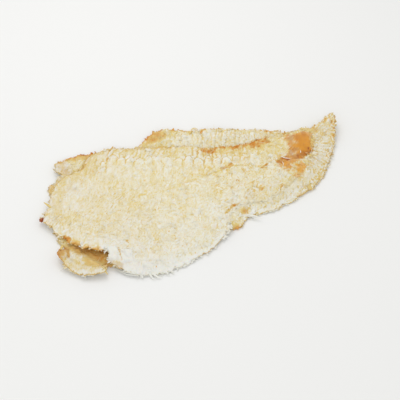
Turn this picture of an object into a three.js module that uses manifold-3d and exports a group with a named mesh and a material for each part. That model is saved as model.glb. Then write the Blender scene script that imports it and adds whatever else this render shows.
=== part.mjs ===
// A dried, roasted fish slice, as sold for a snack: two boned fish, opened flat, laid one on the other,
// pressed and rolled thin, then roasted until the flesh went flaky and the rims dried out and curled.
// Millimetres. +X runs towards the tail, +Y across the slice, +Z up. The slice lies on a flat surface.
import * as THREE from "three";
import { mergeVertices } from "three/addons/utils/BufferGeometryUtils.js";
import Module from "manifold-3d";

const wasm = await Module();
wasm.setup();

// Driving dimensions of the two fillets
const UPPER_THICKNESS = 2.9;
const LOWER_THICKNESS = 2.5;
const RIM_THICKNESS = 1.1;
const RIM_WIDTH = 9;
// Along its near side at the tail the upper fillet is rolled thin and lies flush in the lower one
const FLUSH_RIM = { from: [12, -34], to: [82, -12], half_width: 7, thickness: 0.5 };
// Beside that rim the lower fillet wasn't pressed down, and stands in a bank as high as the upper one
const BANK = {
  line: [[1, -43], [5, -37], [14, -35], [48, -34], [68, -24], [79, -14], [90, 4]],
  half_width: 9,
  height: 1.7,
};
const LAYER_GAP = 0.5;
// How far past the lower fillet's rim the upper one takes to come down to the table
const DROOP = 13;

// The flesh parts into segments, each a shingle that slants back from the line of the lost backbone
const SEGMENT_PITCH = 7.6;
const SEGMENT_DEPTH = 0.75;
const SEGMENT_SLANT = 0.5;
const CRAG_DEPTH = 0.7;
const CRAG_SIZE = 6.5;

// The torn rim: small teeth of flake, more of them in some stretches than in others, on larger bites
const TOOTH_SIZE = 2.1;
const TOOTH_DEPTH = 2.2;
const BITE_SIZE = 11;
const BITE_DEPTH = 2;

// How far apart the surfaces are sampled, along and across the slice
const TOP_STEP = [SEGMENT_PITCH / 3, 3.7];
const UNDERSIDE_STEP = [6.2, 6.2];

// The line of the lost backbone in the upper fillet, a groove, and the half width of that groove
const BACKBONE = [[-62, 5], [-30, 0], [24, -1], [44, -12], [55, -11], [79, -15]];
const BACKBONE_HALF_WIDTH = 2.2;
const BACKBONE_DEPTH = 0.6;
// At its tail the upper fillet has a hard, smooth patch of roasted skin that stands proud of the flesh
const SKIN_PATCH = [[56, -11], [79, -14], [88, 2], [72, 9], [60, 2]];
const SKIN_RISE = 0.4;
// The back rim of the upper fillet curled into a bead between two points
const CURLED_RIM = { from: [12, 22], to: [58, 9.5], half_width: 2.4, height: 1.1 };

// Plan of each fillet, anticlockwise from its tail: a closed curve through these points
const UPPER_PLAN = [
  [88, -3], [89, 6], [70, 10], [50, 13], [30, 17], [14, 23], [2, 32], [-14, 39], [-31, 48], [-45, 55],
  [-58, 55], [-66, 50], [-71, 44], [-84, 43], [-95, 36], [-103, 26], [-111, 14], [-107, 6], [-106, 0],
  [-101, -13], [-92, -23], [-83, -28], [-84, -36], [-78, -47], [-62, -57], [-41, -59], [-31, -57],
  [-18, -53], [-9, -50], [-3, -46], [1, -38], [14, -33], [33, -37], [50, -32], [66, -24], [78, -14],
];
const LOWER_PLAN = [
  [111, 2], [112.5, 10], [106, 9], [100, 7], [92, 8], [84, 12], [75, 15], [60, 25], [38, 35], [12, 48],
  [-10, 55], [-27, 49], [-46, 55], [-62, 59], [-80, 60], [-87, 54], [-84, 48], [-91, 43], [-97, 41],
  [-98, 30], [-103, 12], [-107, -2], [-106, -11], [-112, -16], [-112, -25], [-106, -35], [-97, -42],
  [-89, -42], [-88, -36], [-80, -41], [-70, -43], [-58, -43], [-30, -43], [-8, -44], [2, -48], [12, -43],
  [30, -44], [52, -43], [72, -37], [91, -23], [105, -7],
];

// Where a rim dried upwards: a middle, how far the lift reaches from it, and its height
const LOWER_LIFTS = [
  { at: [114, 12], reach: 36, height: 8 },
  { at: [-88, 58], reach: 22, height: 3 },
  { at: [-8, 62], reach: 24, height: 4 },
  { at: [34, 42], reach: 20, height: 3 },
  { at: [-116, -18], reach: 13, height: 4 },
];
const UPPER_LIFTS = [
  { at: [-90, -26], reach: 20, height: 4 },
  { at: [-80, -38], reach: 12, height: 1.5 },
  { at: [-112, 14], reach: 18, height: 3 },
  { at: [84, 2], reach: 22, height: 0.6 },
  { at: [4, 36], reach: 16, height: 1.5 },
];
// The near corner of the lower fillet stands up in a fold. Its crest runs between two points, with a long
// slope out to the rim and a short, steep one into the valley beside the upper fillet
const FOLD = { from: [-105, -19], to: [-91, -38], outer: 15, inner: 4.5, height: 5 };

const clamp = (value, low, high) => Math.min(high, Math.max(low, value));
const lerp = (a, b, share) => a + (b - a) * share;

function smoothstep(low, high, value) {
  const share = clamp((value - low) / (high - low), 0, 1);
  return share * share * (3 - 2 * share);
}

// A number from 0 to 1 that depends only on two whole numbers
function scatter(i, j) {
  const wave = Math.sin(i * 127.1 + j * 311.7 + 74.7) * 43758.5453;
  return wave - Math.floor(wave);
}

// Smooth bumps of one size, from 0 to 1
function bumps(x, y, size) {
  const i = Math.floor(x / size);
  const j = Math.floor(y / size);
  const u = smoothstep(0, 1, x / size - i);
  const v = smoothstep(0, 1, y / size - j);
  const near = lerp(scatter(i, j), scatter(i + 1, j), u);
  const far = lerp(scatter(i, j + 1), scatter(i + 1, j + 1), u);
  return lerp(near, far, v);
}

// The plan's smooth curve with its teeth and bites, as a list of points
function tornOutline(plan, seed) {
  const curve = new THREE.CatmullRomCurve3(
    plan.map(([x, y]) => new THREE.Vector3(x, y, 0)),
    true,
    "centripetal",
  );
  const teeth = Math.round(curve.getLength() / TOOTH_SIZE);
  const outline = [];
  for (let tooth = 0; tooth < teeth; tooth++) {
    const share = (tooth + 0.6 * scatter(tooth, seed)) / teeth;
    const point = curve.getPointAt(share);
    const along = curve.getTangentAt(share);
    const ragged = TOOTH_DEPTH * smoothstep(0.1, 0.8, bumps(point.x + seed, point.y, 1.6 * BITE_SIZE));
    const bite = BITE_DEPTH * (bumps(point.x, point.y + seed, BITE_SIZE) - 0.5);
    const reach = bite + ragged * (scatter(seed, tooth) - 0.5);
    outline.push(new THREE.Vector2(point.x + along.y * reach, point.y - along.x * reach));
  }
  return outline;
}

// How far a point lies inside an outline; negative outside
function depthInside(x, y, outline) {
  let nearest = Infinity;
  let inside = false;
  outline.forEach((a, index) => {
    const b = outline[(index + 1) % outline.length];
    nearest = Math.min(nearest, distanceToSegment(x, y, [a.x, a.y], [b.x, b.y]));
    if (a.y > y !== b.y > y && x < a.x + ((y - a.y) / (b.y - a.y)) * (b.x - a.x)) inside = !inside;
  });
  return inside ? nearest : -nearest;
}

function distanceToSegment(x, y, [ax, ay], [bx, by]) {
  const length2 = (bx - ax) ** 2 + (by - ay) ** 2;
  const share = clamp(((x - ax) * (bx - ax) + (y - ay) * (by - ay)) / length2, 0, 1);
  return Math.hypot(x - lerp(ax, bx, share), y - lerp(ay, by, share));
}

// Height added by every lift in a list
function lifted(x, y, lifts) {
  return lifts.reduce((sum, lift) => {
    const away = Math.hypot(x - lift.at[0], y - lift.at[1]);
    return sum + lift.height * smoothstep(lift.reach, 0, away);
  }, 0);
}

// Height of a rounded ridge that runs between two points
function ridge(x, y, { from, to, half_width, height }) {
  return height * Math.exp(-((distanceToSegment(x, y, from, to) / half_width) ** 2));
}

function foldHeight(x, y) {
  const { from, to, outer, inner, height } = FOLD;
  const away = distanceToSegment(x, y, from, to);
  const is_valley_side = (to[0] - from[0]) * (y - from[1]) - (to[1] - from[1]) * (x - from[0]) > 0;
  return height * smoothstep(is_valley_side ? inner : outer, 0, away);
}

function distanceToLine(x, y, line) {
  return Math.min(...line.slice(1).map((end, index) => distanceToSegment(x, y, line[index], end)));
}

// From 1 on the backbone's line to 0 beside its groove
function onBackbone(x, y) {
  return smoothstep(BACKBONE_HALF_WIDTH, 0, distanceToLine(x, y, BACKBONE));
}

// Height of the bank. It starts a sample's width outside the upper fillet, so that the two stay clear of each
// other, and ends short of the lower one's rim
function bankHeight(x, y) {
  const beside = smoothstep(-1.8, -3.6, depthInside(x, y, UPPER_OUTLINE));
  const within = smoothstep(0, 5, depthInside(x, y, LOWER_OUTLINE));
  const near = Math.exp(-((distanceToLine(x, y, BANK.line) / BANK.half_width) ** 2));
  return BANK.height * beside * within * near;
}

// The relief of the cut flesh: shingled segments and uneven crags between them
function relief(x, y) {
  const wander = 2.5 * bumps(x + 40, y, 21);
  const segments = (x - SEGMENT_SLANT * Math.abs(y) + wander) / SEGMENT_PITCH;
  const shingle = segments - Math.floor(segments);
  return SEGMENT_DEPTH * shingle + CRAG_DEPTH * (bumps(x, y, CRAG_SIZE) - 0.5);
}

function thickness(full, depth, rim = RIM_THICKNESS) {
  return lerp(rim, full, smoothstep(0, RIM_WIDTH, depth));
}

const LOWER_OUTLINE = tornOutline(LOWER_PLAN, 3);
const UPPER_OUTLINE = tornOutline(UPPER_PLAN, 11);
const SKIN_OUTLINE = SKIN_PATCH.map(([x, y]) => new THREE.Vector2(x, y));

// The four surfaces, from the table up. The lower fillet is smooth where the upper one is pressed on it
function lowerUnderside(x, y) {
  return lifted(x, y, LOWER_LIFTS) + foldHeight(x, y);
}

function pressedTop(x, y) {
  return lowerUnderside(x, y) + thickness(LOWER_THICKNESS, depthInside(x, y, LOWER_OUTLINE));
}

function lowerTop(x, y) {
  const exposed = smoothstep(-1.5, -6, depthInside(x, y, UPPER_OUTLINE));
  return pressedTop(x, y) + relief(x + 55, y) * exposed + bankHeight(x, y);
}

function upperUnderside(x, y) {
  const carried = smoothstep(-DROOP, -1, depthInside(x, y, LOWER_OUTLINE));
  return (pressedTop(x, y) + LAYER_GAP) * carried + lifted(x, y, UPPER_LIFTS) + 0.2;
}

function upperTop(x, y) {
  const depth = depthInside(x, y, UPPER_OUTLINE);
  const skin = smoothstep(-1.5, 2, depthInside(x, y, SKIN_OUTLINE));
  const flush = ridge(x, y, { ...FLUSH_RIM, height: 1 });
  const rim = lerp(RIM_THICKNESS, FLUSH_RIM.thickness, flush);
  const flesh = relief(x, y) * smoothstep(-1 + 2 * flush, 4 + 3 * flush, depth) * (1 - skin);
  const grooves = SKIN_RISE * skin - BACKBONE_DEPTH * onBackbone(x, y) + ridge(x, y, CURLED_RIM);
  return upperUnderside(x, y) + thickness(UPPER_THICKNESS, depth, rim) + flesh + grooves;
}

// A block between a level and a surface sampled on a grid, closed all round
function blockTo(surface, level, [low, high], [step_x, step_y]) {
  const columns = Math.ceil((high.x - low.x) / step_x);
  const rows = Math.ceil((high.y - low.y) / step_y);
  const sheet = new THREE.BoxGeometry(1, 1, 1, columns, rows, 1);
  const position = sheet.getAttribute("position");
  for (let i = 0; i < position.count; i++) {
    const x = lerp(low.x, high.x, position.getX(i) + 0.5);
    const y = lerp(low.y, high.y, position.getY(i) + 0.5);
    const shaped = position.getZ(i) > 0 === surface.is_above;
    position.setXYZ(i, x, y, shaped ? surface.height(x, y) : level);
  }
  return solidOf(sheet);
}

function solidOf(geometry) {
  geometry.deleteAttribute("normal");
  geometry.deleteAttribute("uv");
  const merged = mergeVertices(geometry, 1e-4);
  return new wasm.Manifold(
    new wasm.Mesh({
      numProp: 3,
      vertProperties: merged.getAttribute("position").array,
      triVerts: new Uint32Array(merged.index.array),
    }),
  );
}

// A fillet: what lies over its underside, under its top, and within its outline
function filletSolid(outline, underside, top) {
  const bounds = new THREE.Box2().setFromPoints(outline).expandByScalar(2);
  const corners = [bounds.min, bounds.max];
  const reach = 60;
  const below_top = blockTo({ height: top, is_above: true }, -reach, corners, TOP_STEP);
  const above_underside = blockTo({ height: underside, is_above: false }, reach, corners, UNDERSIDE_STEP);
  const prism = new THREE.ExtrudeGeometry(new THREE.Shape(outline), { depth: reach, bevelEnabled: false });
  return below_top.intersect(above_underside).intersect(solidOf(prism.translate(0, 0, -reach / 2)));
}

function geometryOf(solid) {
  const mesh = solid.getMesh();
  const geometry = new THREE.BufferGeometry();
  geometry.setAttribute("position", new THREE.BufferAttribute(new Float32Array(mesh.vertProperties), 3));
  geometry.setIndex(new THREE.BufferAttribute(new Uint32Array(mesh.triVerts), 1));
  return geometry.toNonIndexed();
}

function fillet(name, solid, colour) {
  const mesh = new THREE.Mesh(
    geometryOf(solid),
    new THREE.MeshStandardMaterial({ color: colour, roughness: 0.75, metalness: 0, flatShading: true }),
  );
  mesh.name = name;
  return mesh;
}

const slice = new THREE.Group();
slice.add(
  fillet("lower_fillet", filletSolid(LOWER_OUTLINE, lowerUnderside, lowerTop), 0xe3cf9f),
  fillet("upper_fillet", filletSolid(UPPER_OUTLINE, upperUnderside, upperTop), 0xead9b2),
);

// The origin is the middle of the slice's own box, on the surface that it lies on
const box = new THREE.Box3().setFromObject(slice);
const middle = box.getCenter(new THREE.Vector3());
slice.position.set(-middle.x, -middle.y, -box.min.z);

export default slice;
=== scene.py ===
"""A dried, roasted fish slice: two boned fish, opened flat, pressed on each other and roasted.

The CAD fillets are the frame. Each is replaced by a fine sheet of flesh that is laid on the CAD
surfaces, torn along its rim and given its flaky relief, with loose flakes and fibres on top of it.
The tables and the flesh functions count in millimetres, the settings and the meshes in metres, and MM
turns one into the other.
"""
import math
import random
from functools import partial
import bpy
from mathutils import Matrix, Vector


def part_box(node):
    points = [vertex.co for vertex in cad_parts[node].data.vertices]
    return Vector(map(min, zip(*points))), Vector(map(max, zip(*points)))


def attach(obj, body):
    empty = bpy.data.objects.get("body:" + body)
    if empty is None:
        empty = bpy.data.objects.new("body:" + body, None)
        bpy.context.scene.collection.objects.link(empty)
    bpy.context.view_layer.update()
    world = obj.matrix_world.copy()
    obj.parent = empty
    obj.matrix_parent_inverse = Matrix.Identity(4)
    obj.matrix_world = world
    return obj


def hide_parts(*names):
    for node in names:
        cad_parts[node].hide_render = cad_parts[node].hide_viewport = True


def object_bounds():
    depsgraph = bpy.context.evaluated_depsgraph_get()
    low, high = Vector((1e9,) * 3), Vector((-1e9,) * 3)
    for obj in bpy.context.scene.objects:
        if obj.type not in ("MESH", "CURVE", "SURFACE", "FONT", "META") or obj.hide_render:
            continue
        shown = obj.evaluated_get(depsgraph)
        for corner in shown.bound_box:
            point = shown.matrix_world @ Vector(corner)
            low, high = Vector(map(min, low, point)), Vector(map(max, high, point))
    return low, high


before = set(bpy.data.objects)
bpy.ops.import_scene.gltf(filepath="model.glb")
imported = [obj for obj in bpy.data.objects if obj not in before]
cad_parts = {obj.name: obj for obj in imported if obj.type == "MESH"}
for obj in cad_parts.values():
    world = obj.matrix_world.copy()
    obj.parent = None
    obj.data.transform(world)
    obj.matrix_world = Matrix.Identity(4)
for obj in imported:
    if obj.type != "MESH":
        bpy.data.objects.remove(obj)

from types import SimpleNamespace

import bmesh
import bpy
import numpy as np
from bpy.props import FloatProperty, FloatVectorProperty, IntProperty, PointerProperty
from mathutils import Matrix, Vector, noise
from mathutils.bvhtree import BVHTree
from mathutils.kdtree import KDTree

bl_info = {
    "name": "Dried Roasted Fish Slice",
    "version": (1, 0, 0),
    "blender": (4, 5, 0),
    "location": "View3D > Sidebar > Fish Slice",
    "description": "Two roasted fish fillets pressed together, with flaky flesh, torn rims and loose fibres",
    "category": "Add Mesh",
}

MM = 0.001
BODY = "root"
CAD_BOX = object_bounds()
UP, DOWN = Vector((0, 0, 1)), Vector((0, 0, -1))
# How far the sheets may rise over the CAD box, how far loose pieces may stand out of it, and how far
# these stay over the floor
CEILING = 0.22
LOOSE_MARGIN = (4, 2.8, 0.2)
FLOOR_GAP = 0.05
# Seeds of the random draws, and of the small flakes' shapes
SEEDS = {"lower": 3, "upper": 11, "flakes": 21, "fibres": 22, "rims": 23, "seam": 24, "knob": 5}
LOOSE_SHAPES, RIM_SHAPES, SEAM_SHAPES = range(9), range(20, 27), range(40, 47)
CRUMB_SHAPE = 60
# Which way the streaks of the fine grain run on each fillet, in degrees
GRAIN_TURNS = {"lower": 30, "upper": -27}
# How sunk loose pieces look to the material, which paints shade into what looks sunk, where 0.5 is
# level: those on the flesh and the rims that are flakes, and the fibres and the flakes of the seam
FLAKE_CAVITY = 0.42
FIBRE_CAVITY = 0.45

# Place and size of the soft lights, in metres
KEY_LIGHT = ((-0.02, 0.26, 0.52), 0.34)
FILL_LIGHT = ((-0.5, -0.6, 0.6), 0.7)

# The photograph's view: a frame 400 wide, a focal length of 830 in that frame, and where it looks
FRAME_WIDTH = 400
FOCAL_LENGTH = 830
CAMERA_ELEVATION = math.radians(50)
CAMERA_AZIMUTH = math.radians(-26.9)
CAMERA_DISTANCE = 565
CAMERA_AIM = (-8.5, -14.9, 0)

# The flesh parts into tongues that lean towards the tail as they run outwards from the backbone
TONGUE_LEAN = math.tan(math.radians(26.9))
BACKBONE = [(-62, 4), (-43, 2), (-30, -1), (-9, -1), (15, -2), (24, -2), (44, -13), (54, -11.5), (79, -15)]
# The hard patch of roasted skin at the upper fillet's tail, the crack along its near side, its middle
SKIN_PATCH = [
    (59, -12), (65, -14), (71, -15), (80, -14), (86.5, -6), (88.5, 2), (84, 5.5), (75, 6.6), (69, 7.5),
    (68.5, 2), (67.5, -3), (65, -7),
]
SKIN_CRACK = [(54.5, -13), (58.5, -12.4), (62, -13.2), (66.5, -14.5), (71, -14.7), (75, -13.8), (81, -12.2)]
SKIN_MIDDLE = (74, -6)
# The darkest spot on that patch
SKIN_PIT = (80.5, -10.5)
# Two blocks of flesh, torn white and split into planks, that stand up at the front
BLOCKS = [
    [(-83.5, -27.5), (-75.8, -29.5), (-77, -40.5), (-84.5, -38)],
    [(-75, -33), (-68.5, -36), (-70.5, -45), (-78, -43)],
]
# Brown blotches along the upper fillet's back rim: a line and a reach
BLOTCHES = [
    ([(13.5, 21), (17, 17.5)], 3.2),
    ([(20, 20), (27, 17)], 1.5),
    ([(32, 14.5), (38, 13)], 3.2),
    ([(43.5, 12.5), (49, 11), (54.5, 8.8)], 4.4),
]
# Creases with a browned line in them
CREASES = [
    [(15, -0.7), (19, -1.4), (24, 0.3)],
    [(41, -12.4), (45.5, -11.4)],
    [(-0.5, -36.5), (6, -33.3), (12, -32.8)],
]
# Small browned marks in the upper fillet's flesh: a place and a reach
MARKS = [
    ((-36, 46.5), 1.6), ((-52, 43), 2.0), ((-47, 51), 1.6), ((8, -33), 2.0), ((20, -16), 1.6),
    ((43, -14.5), 1.8), ((-68.5, -29), 1.4), ((46, -32.5), 2.6), ((63, -25.5), 2.4), ((13.5, -19.5), 1.5),
    ((31, -29.5), 2.0),
]
# The golden gap between the two blocks, and the stretch of the rim above the lower lobe that is painted
# orange as a glow
BLOCK_GAP = [(-75.4, -32), (-77, -36), (-77.8, -38.5)]
GLOW = [(-103.6, -7), (-101.2, -9.8)]
# The tan stretch of rim below the first block
TAN_RIM = [(-86, -39.5), (-83, -41.2), (-80, -43.8)]
# The fold beside the lower fillet's lobe, under the upper fillet's rim, painted golden brown as shade
VALLEY = [(-97, -19), (-90, -24), (-84.5, -30)]
# The curled end of that lobe, and the line inside it, both painted darker as shade
CUP = [(-108.5, -14.5), (-110.8, -19)]
CUP_LINE = [(-104.6, -16.5), (-105.6, -20), (-106.4, -24)]
# The golden end of the lobe, below the valley
LOBE_GOLD = [(-97, -33), (-92, -35.5), (-87, -37)]
# The browned back edge of the lower fillet's other lobe
LOBE_BACK = [(-83, 59), (-76, 59.5), (-69, 58.5), (-60, 57)]
# The browned end of the lower fillet's back strip, and its small browned spots: place, reach and share
BROWNED_END = (-12.5, 49.5)
LOWER_MARKS = [
    ((1.5, -49), (3, 2.2), 0.9), ((12.8, -39.3), (2.6, 2), 0.7), ((-82, 49), (3, 5), 0.25),
    ((93.5, 1.8), (2.4, 1.8), 0.5),
]
# Width of one lobe of the torn rims
LOBE_PITCH = 5.2
# Tints of single strands: toast, brown, pale, amber, scorching and shade, gloss and cavity
STRAND_TONES = {
    "white": (0.1, 0, 0.9, 0, 0, 0, 0.4),
    "cream": (0.3, 0, 0.3, 0, 0, 0, 0.45),
    "golden": (0.9, 0.2, 0, 0, 0, 0, 0.5),
    "orange": (1, 0.75, 0, 0.3, 0, 0.2, 0.5),
    "amber": (1, 0.3, 0, 0.6, 0.1, 0.4, 0.5),
}
# Single strands, spikes and teeth that each fillet shows in the photograph: tone, width and points
STRANDS = {
    "upper": [
        ("white", 0.6, [(57.7, -9.8, 6.9), (58.8, -12.5, 7.2), (62.5, -15.0, 6.9)]),
        ("white", 0.5, [(56.0, -14.7, 6.6), (55.6, -17.0, 6.9), (53.8, -18.9, 6.6)]),
        # These three short white strokes on the skin are painted glints of light
        ("white", 0.8, [(72.0, -12.4, 5.8), (72.7, -11.7, 6.0), (73.2, -10.8, 6.2)]),
        ("white", 1.0, [(73.4, -17.4, 4.3), (74.5, -17.0, 4.4), (75.7, -16.9, 4.2)]),
        ("white", 0.7, [(80.0, 5.4, 5.5), (80.8, 5.9, 5.4), (81.7, 6.0, 5.2)]),
        ("golden", 1.6, [(-101.6, 20.0, 4.2), (-103.3, 24.5, 4.0), (-104.8, 28.0, 4.0)]),
        ("golden", 1.7, [(-102.4, 15.5, 4.0), (-104.0, 19.6, 3.4)]),
        ("white", 0.9, [(-73.0, -52.6, 2.4), (-78.9, -47.6, 2.0), (-82.8, -42.9, 1.6)]),
        ("white", 0.8, [(-72.0, -54.6, 2.2), (-77.9, -50.0, 1.6), (-81.7, -45.0, 1.4)]),
        ("white", 1.0, [(-75.7, -47.9, 2.8), (-80.0, -43.6, 2.2), (-82.5, -41.0, 2.0)]),
        ("white", 1.1, [(-65.0, -55.2, 2.0), (-64.6, -58.6, 1.2), (-64.0, -61.1, 0.8)]),
        ("white", 1.3, [(-63.3, -56.3, 1.9), (-61.2, -60.4, 1.4), (-59.4, -61.5, 1.2)]),
        ("white", 1.0, [(-52.2, -56.3, 1.9), (-51.2, -60.6, 1.2), (-50.9, -63.2, 0.9)]),
        ("white", 0.9, [(-55.0, -56.5, 1.8), (-54.5, -60.9, 1.0), (-54.9, -62.3, 0.8)]),
        ("amber", 1.5, [(-100.4, -9.8, 4.9), (-102.2, -12.8, 4.3)]),
        ("amber", 1.4, [(-97.6, -12.6, 5.4), (-98.3, -16.4, 4.8)]),
        ("golden", 1.6, [(-94.4, -15.6, 5.7), (-95.0, -19.6, 5.0)]),
        ("amber", 1.5, [(-91.6, -18.7, 5.9), (-91.6, -23.2, 5.2)]),
        ("golden", 1.4, [(-88.8, -21.2, 6.0), (-89.2, -25.6, 5.4)]),
        ("cream", 1.8, [(-86.4, -23.4, 6.0), (-86.5, -28.0, 5.3)]),
        ("cream", 2.2, [(-87.6, -22.4, 6.2), (-89.2, -27.0, 5.9)]),
    ],
    "lower": [
        ("white", 1.2, [(9.5, -41.4, 2.4), (14.4, -43.5, 2.8), (17.9, -46.7, 2.7), (20.2, -50.2, 2.0)]),
        ("white", 0.7, [(11.5, -42.9, 2.0), (15.4, -45.5, 2.3), (17.6, -48.9, 1.8)]),
        ("golden", 1.8, [(-91.8, -38.0, 5.6), (-89.8, -41.7, 4.4), (-89.0, -45.6, 3.2)]),
        ("golden", 0.9, [(13.4, 43.6, 2.6), (15.6, 45.8, 3.2), (18.0, 45.4, 3.4), (19.3, 43.5, 3.0)]),
        ("orange", 2.4, [(0.8, 49.4, 2.6), (4.2, 52.6, 2.8)]),
        ("orange", 2.2, [(18.8, 39.0, 2.6), (22.0, 41.4, 2.8)]),
        ("golden", 1.9, [(27.6, 33.6, 2.4), (30.0, 35.9, 2.7)]),
        ("orange", 2.8, [(1.9, -43.6, 1.9), (2.4, -49.6, 0.9)]),
        ("white", 0.5, [(-102.3, -38.0, 1.8), (-102.1, -42.6, 0.7)]),
        ("cream", 0.5, [(-111.9, -27.9, 1.6), (-114.3, -27.4, 0.7)]),
    ],
}
# Curled crumbs that stand on the back rims: fillet, tone, size and place
CRUMBS = [
    ("upper", "cream", 1.5, (-49.5, 53.0, 5.0)),
    ("upper", "golden", 1.3, (-46.5, 52.6, 4.8)),
    ("lower", "golden", 1.7, (12.8, 43.4, 3.0)),
    ("lower", "cream", 1.5, (16.0, 43.2, 3.2)),
    ("lower", "white", 1.2, (19.4, 42.0, 3.0)),
    ("lower", "golden", 1.4, (1.5, 49.6, 2.4)),
    ("lower", "golden", 1.5, (20.5, 38.8, 2.6)),
    ("lower", "golden", 2.4, (-107.5, -12.5, 2.6)),
]
# Where the upper fillet's rim bulges out past the CAD's: a place, a reach and how far
BULGES = [((24, 15.5), 12, 2.4), ((-86, -27), 6, 1.7)]
# The burnt knob at the upper fillet's left end
KNOB = (-111.3, 14.2, 3.7)
# Where the lower fillet stands level with the upper one's rim, and how far that reaches from the line
SEAM = [(1, -44), (5, -38), (14, -36), (48, -35), (68, -25), (79, -15), (90, 3)]
SEAM_REACH = 9
# Roughly where the upper fillet hides the lower one
UPPER_COVER = [
    (88, -4), (89, 5), (70, 9), (50, 12), (30, 16), (2, 31), (-31, 47), (-58, 54), (-84, 42), (-103, 25),
    (-111, 13), (-106, -1), (-92, -24), (-84, -37), (-62, -58), (-31, -58), (-3, -47), (1, -39), (14, -34),
    (33, -38), (50, -33), (66, -25), (78, -15),
]


def srgb(*screen):
    """A colour picked as 0 to 255 on a screen, as the linear colour that shaders use."""
    shares = [value / 255 for value in screen]
    return [share / 12.92 if share <= 0.04045 else ((share + 0.055) / 1.055) ** 2.4 for share in shares]


# Sizes and colours that a user would change


def length_setting(name, description, millimetres):
    return FloatProperty(name=name, description=description, default=millimetres * MM, unit="LENGTH")


def colour_setting(name, description, *screen):
    """A colour setting; its default is given as 0 to 255 on a screen."""
    return FloatVectorProperty(name=name, description=description, subtype="COLOR", default=srgb(*screen))


def count_setting(name, description, default):
    return IntProperty(name=name, description=description, default=default)


class FleshSettings(bpy.types.PropertyGroup):
    cell: length_setting("Cell", "Spacing of the fine surface", 0.55)
    tear: length_setting("Tear", "Depth of the torn rim's teeth", 1.3)
    spread: length_setting("Spread", "How far the rims reach past the CAD ones before they are torn", 0.9)
    tongue_pitch: length_setting("Tongue pitch", "Width of one tongue of flesh", 7.4)
    tongue_depth: length_setting("Tongue depth", "Height of a tongue over its cracks", 1.0)
    plate_depth: length_setting("Plate depth", "Height of the small plates of flesh", 0.3)
    cream: colour_setting("Cream", "Plain dried flesh", 230, 226, 210)
    # Gold is also mixed in as painted shade: in hollows, in the lower lobe's valley and beside the upper
    # fillet
    gold: colour_setting("Gold", "Toasted flesh", 222, 202, 132)
    white: colour_setting("White", "Freshly torn flesh", 232, 232, 224)
    # Brown also paints shade: in the lower lobe's valley, in its curled cup and beside the upper fillet
    brown: colour_setting("Brown", "Browned rims and cracks", 202, 130, 42)
    amber: colour_setting("Amber", "Hard roasted skin", 222, 152, 30)
    # The scorched colour also darkens parts of the flesh as painted shade
    scorched_and_shaded: colour_setting("Scorched_and_shaded", "The darkest spots", 146, 62, 24)


class LooseSettings(bpy.types.PropertyGroup):
    flake_size: length_setting("Flake size", "Half width of a typical loose flake", 1.0)
    upper_flakes: count_setting("Upper flakes", "Loose flakes on the upper fillet", 420)
    lower_flakes: count_setting("Lower flakes", "Loose flakes on the lower fillet", 260)
    fibre_length: length_setting("Fibre length", "Length of a typical fibre", 3.2)
    fibre_width: length_setting("Fibre width", "Width of a typical fibre", 0.2)
    upper_fibres: count_setting("Upper fibres", "Fibres on the upper fillet", 1100)
    lower_fibres: count_setting("Lower fibres", "Fibres on the lower fillet", 700)
    rim_flakes: count_setting("Rim flakes", "Flakes that stand out of the rims", 1000)
    seam_flakes: count_setting("Seam flakes", "Flakes that hide the seam", 420)
    rim_hairs: count_setting("Rim hairs", "Fine white hairs on the torn rims", 1500)


class StageSettings(bpy.types.PropertyGroup):
    floor_colour: colour_setting("Floor", "Colour of the plain floor", 238, 238, 236)
    key_power: FloatProperty(
        name="Key light", description="Power of the large soft light", default=0.76, unit="POWER"
    )
    fill_power: FloatProperty(
        name="Fill light", description="Power of the weak front light", default=1.2, unit="POWER"
    )
    sky: FloatProperty(name="Sky", description="Strength of the light from all round", default=0.8, min=0)


# Small helpers


def clamp(value, low=0.0, high=1.0):
    return min(high, max(low, value))


def smoothstep(low, high, value):
    share = clamp((value - low) / (high - low))
    return share * share * (3 - 2 * share)


def mix(a, b, share):
    return a + (b - a) * share


def bumps(x, y, size, seed=0.0):
    """Smooth bumps of one size, about -1 to 1."""
    return noise.noise(Vector((x / size, y / size, seed * 7.31 + 0.5))) * 1.6


def along_line(x, y, line):
    """Distance from a point to a line of points."""
    nearest = 1e9
    for (ax, ay), (bx, by) in zip(line, line[1:]):
        run = (bx - ax) ** 2 + (by - ay) ** 2
        share = clamp(((x - ax) * (bx - ax) + (y - ay) * (by - ay)) / run)
        nearest = min(nearest, math.hypot(x - mix(ax, bx, share), y - mix(ay, by, share)))
    return nearest


def inside_depth(x, y, ring):
    """How far a point lies inside a closed ring of points; negative outside."""
    closed = ring + ring[:1]
    inside = False
    for (ax, ay), (bx, by) in zip(closed, closed[1:]):
        if (ay > y) != (by > y) and x < ax + (y - ay) / (by - ay) * (bx - ax):
            inside = not inside
    depth = along_line(x, y, closed)
    return depth if inside else -depth


def backbone_at(x):
    """Where the line of the lost backbone lies across the slice."""
    for (ax, ay), (bx, by) in zip(BACKBONE, BACKBONE[1:]):
        if x < bx:
            return mix(ay, by, clamp((x - ax) / (bx - ax)))
    return BACKBONE[-1][1]


def crease_at(x, y):
    """1 in a crease, fading to 0 beside it."""
    nearest = min(along_line(x, y, line) for line in CREASES)
    soft = 0.6 + 0.4 * smoothstep(-34, -20, y)
    return soft * smoothstep(1.1, 0.2, nearest + 0.5 * bumps(x, y, 2, 115))


def block_at(x, y, halo=0.0):
    """1 on the blocks of white flesh, fading to 0 outside them, or outside a halo round them."""
    depth = max(inside_depth(x, y, block) for block in BLOCKS)
    return smoothstep(-halo, 0.8, depth + 0.35 * bumps(x, y, 2, 37))


def seam_at(x, y):
    """1 on the seam between the fillets, fading to 0."""
    return math.exp(-((along_line(x, y, SEAM) / SEAM_REACH) ** 2))


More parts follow.
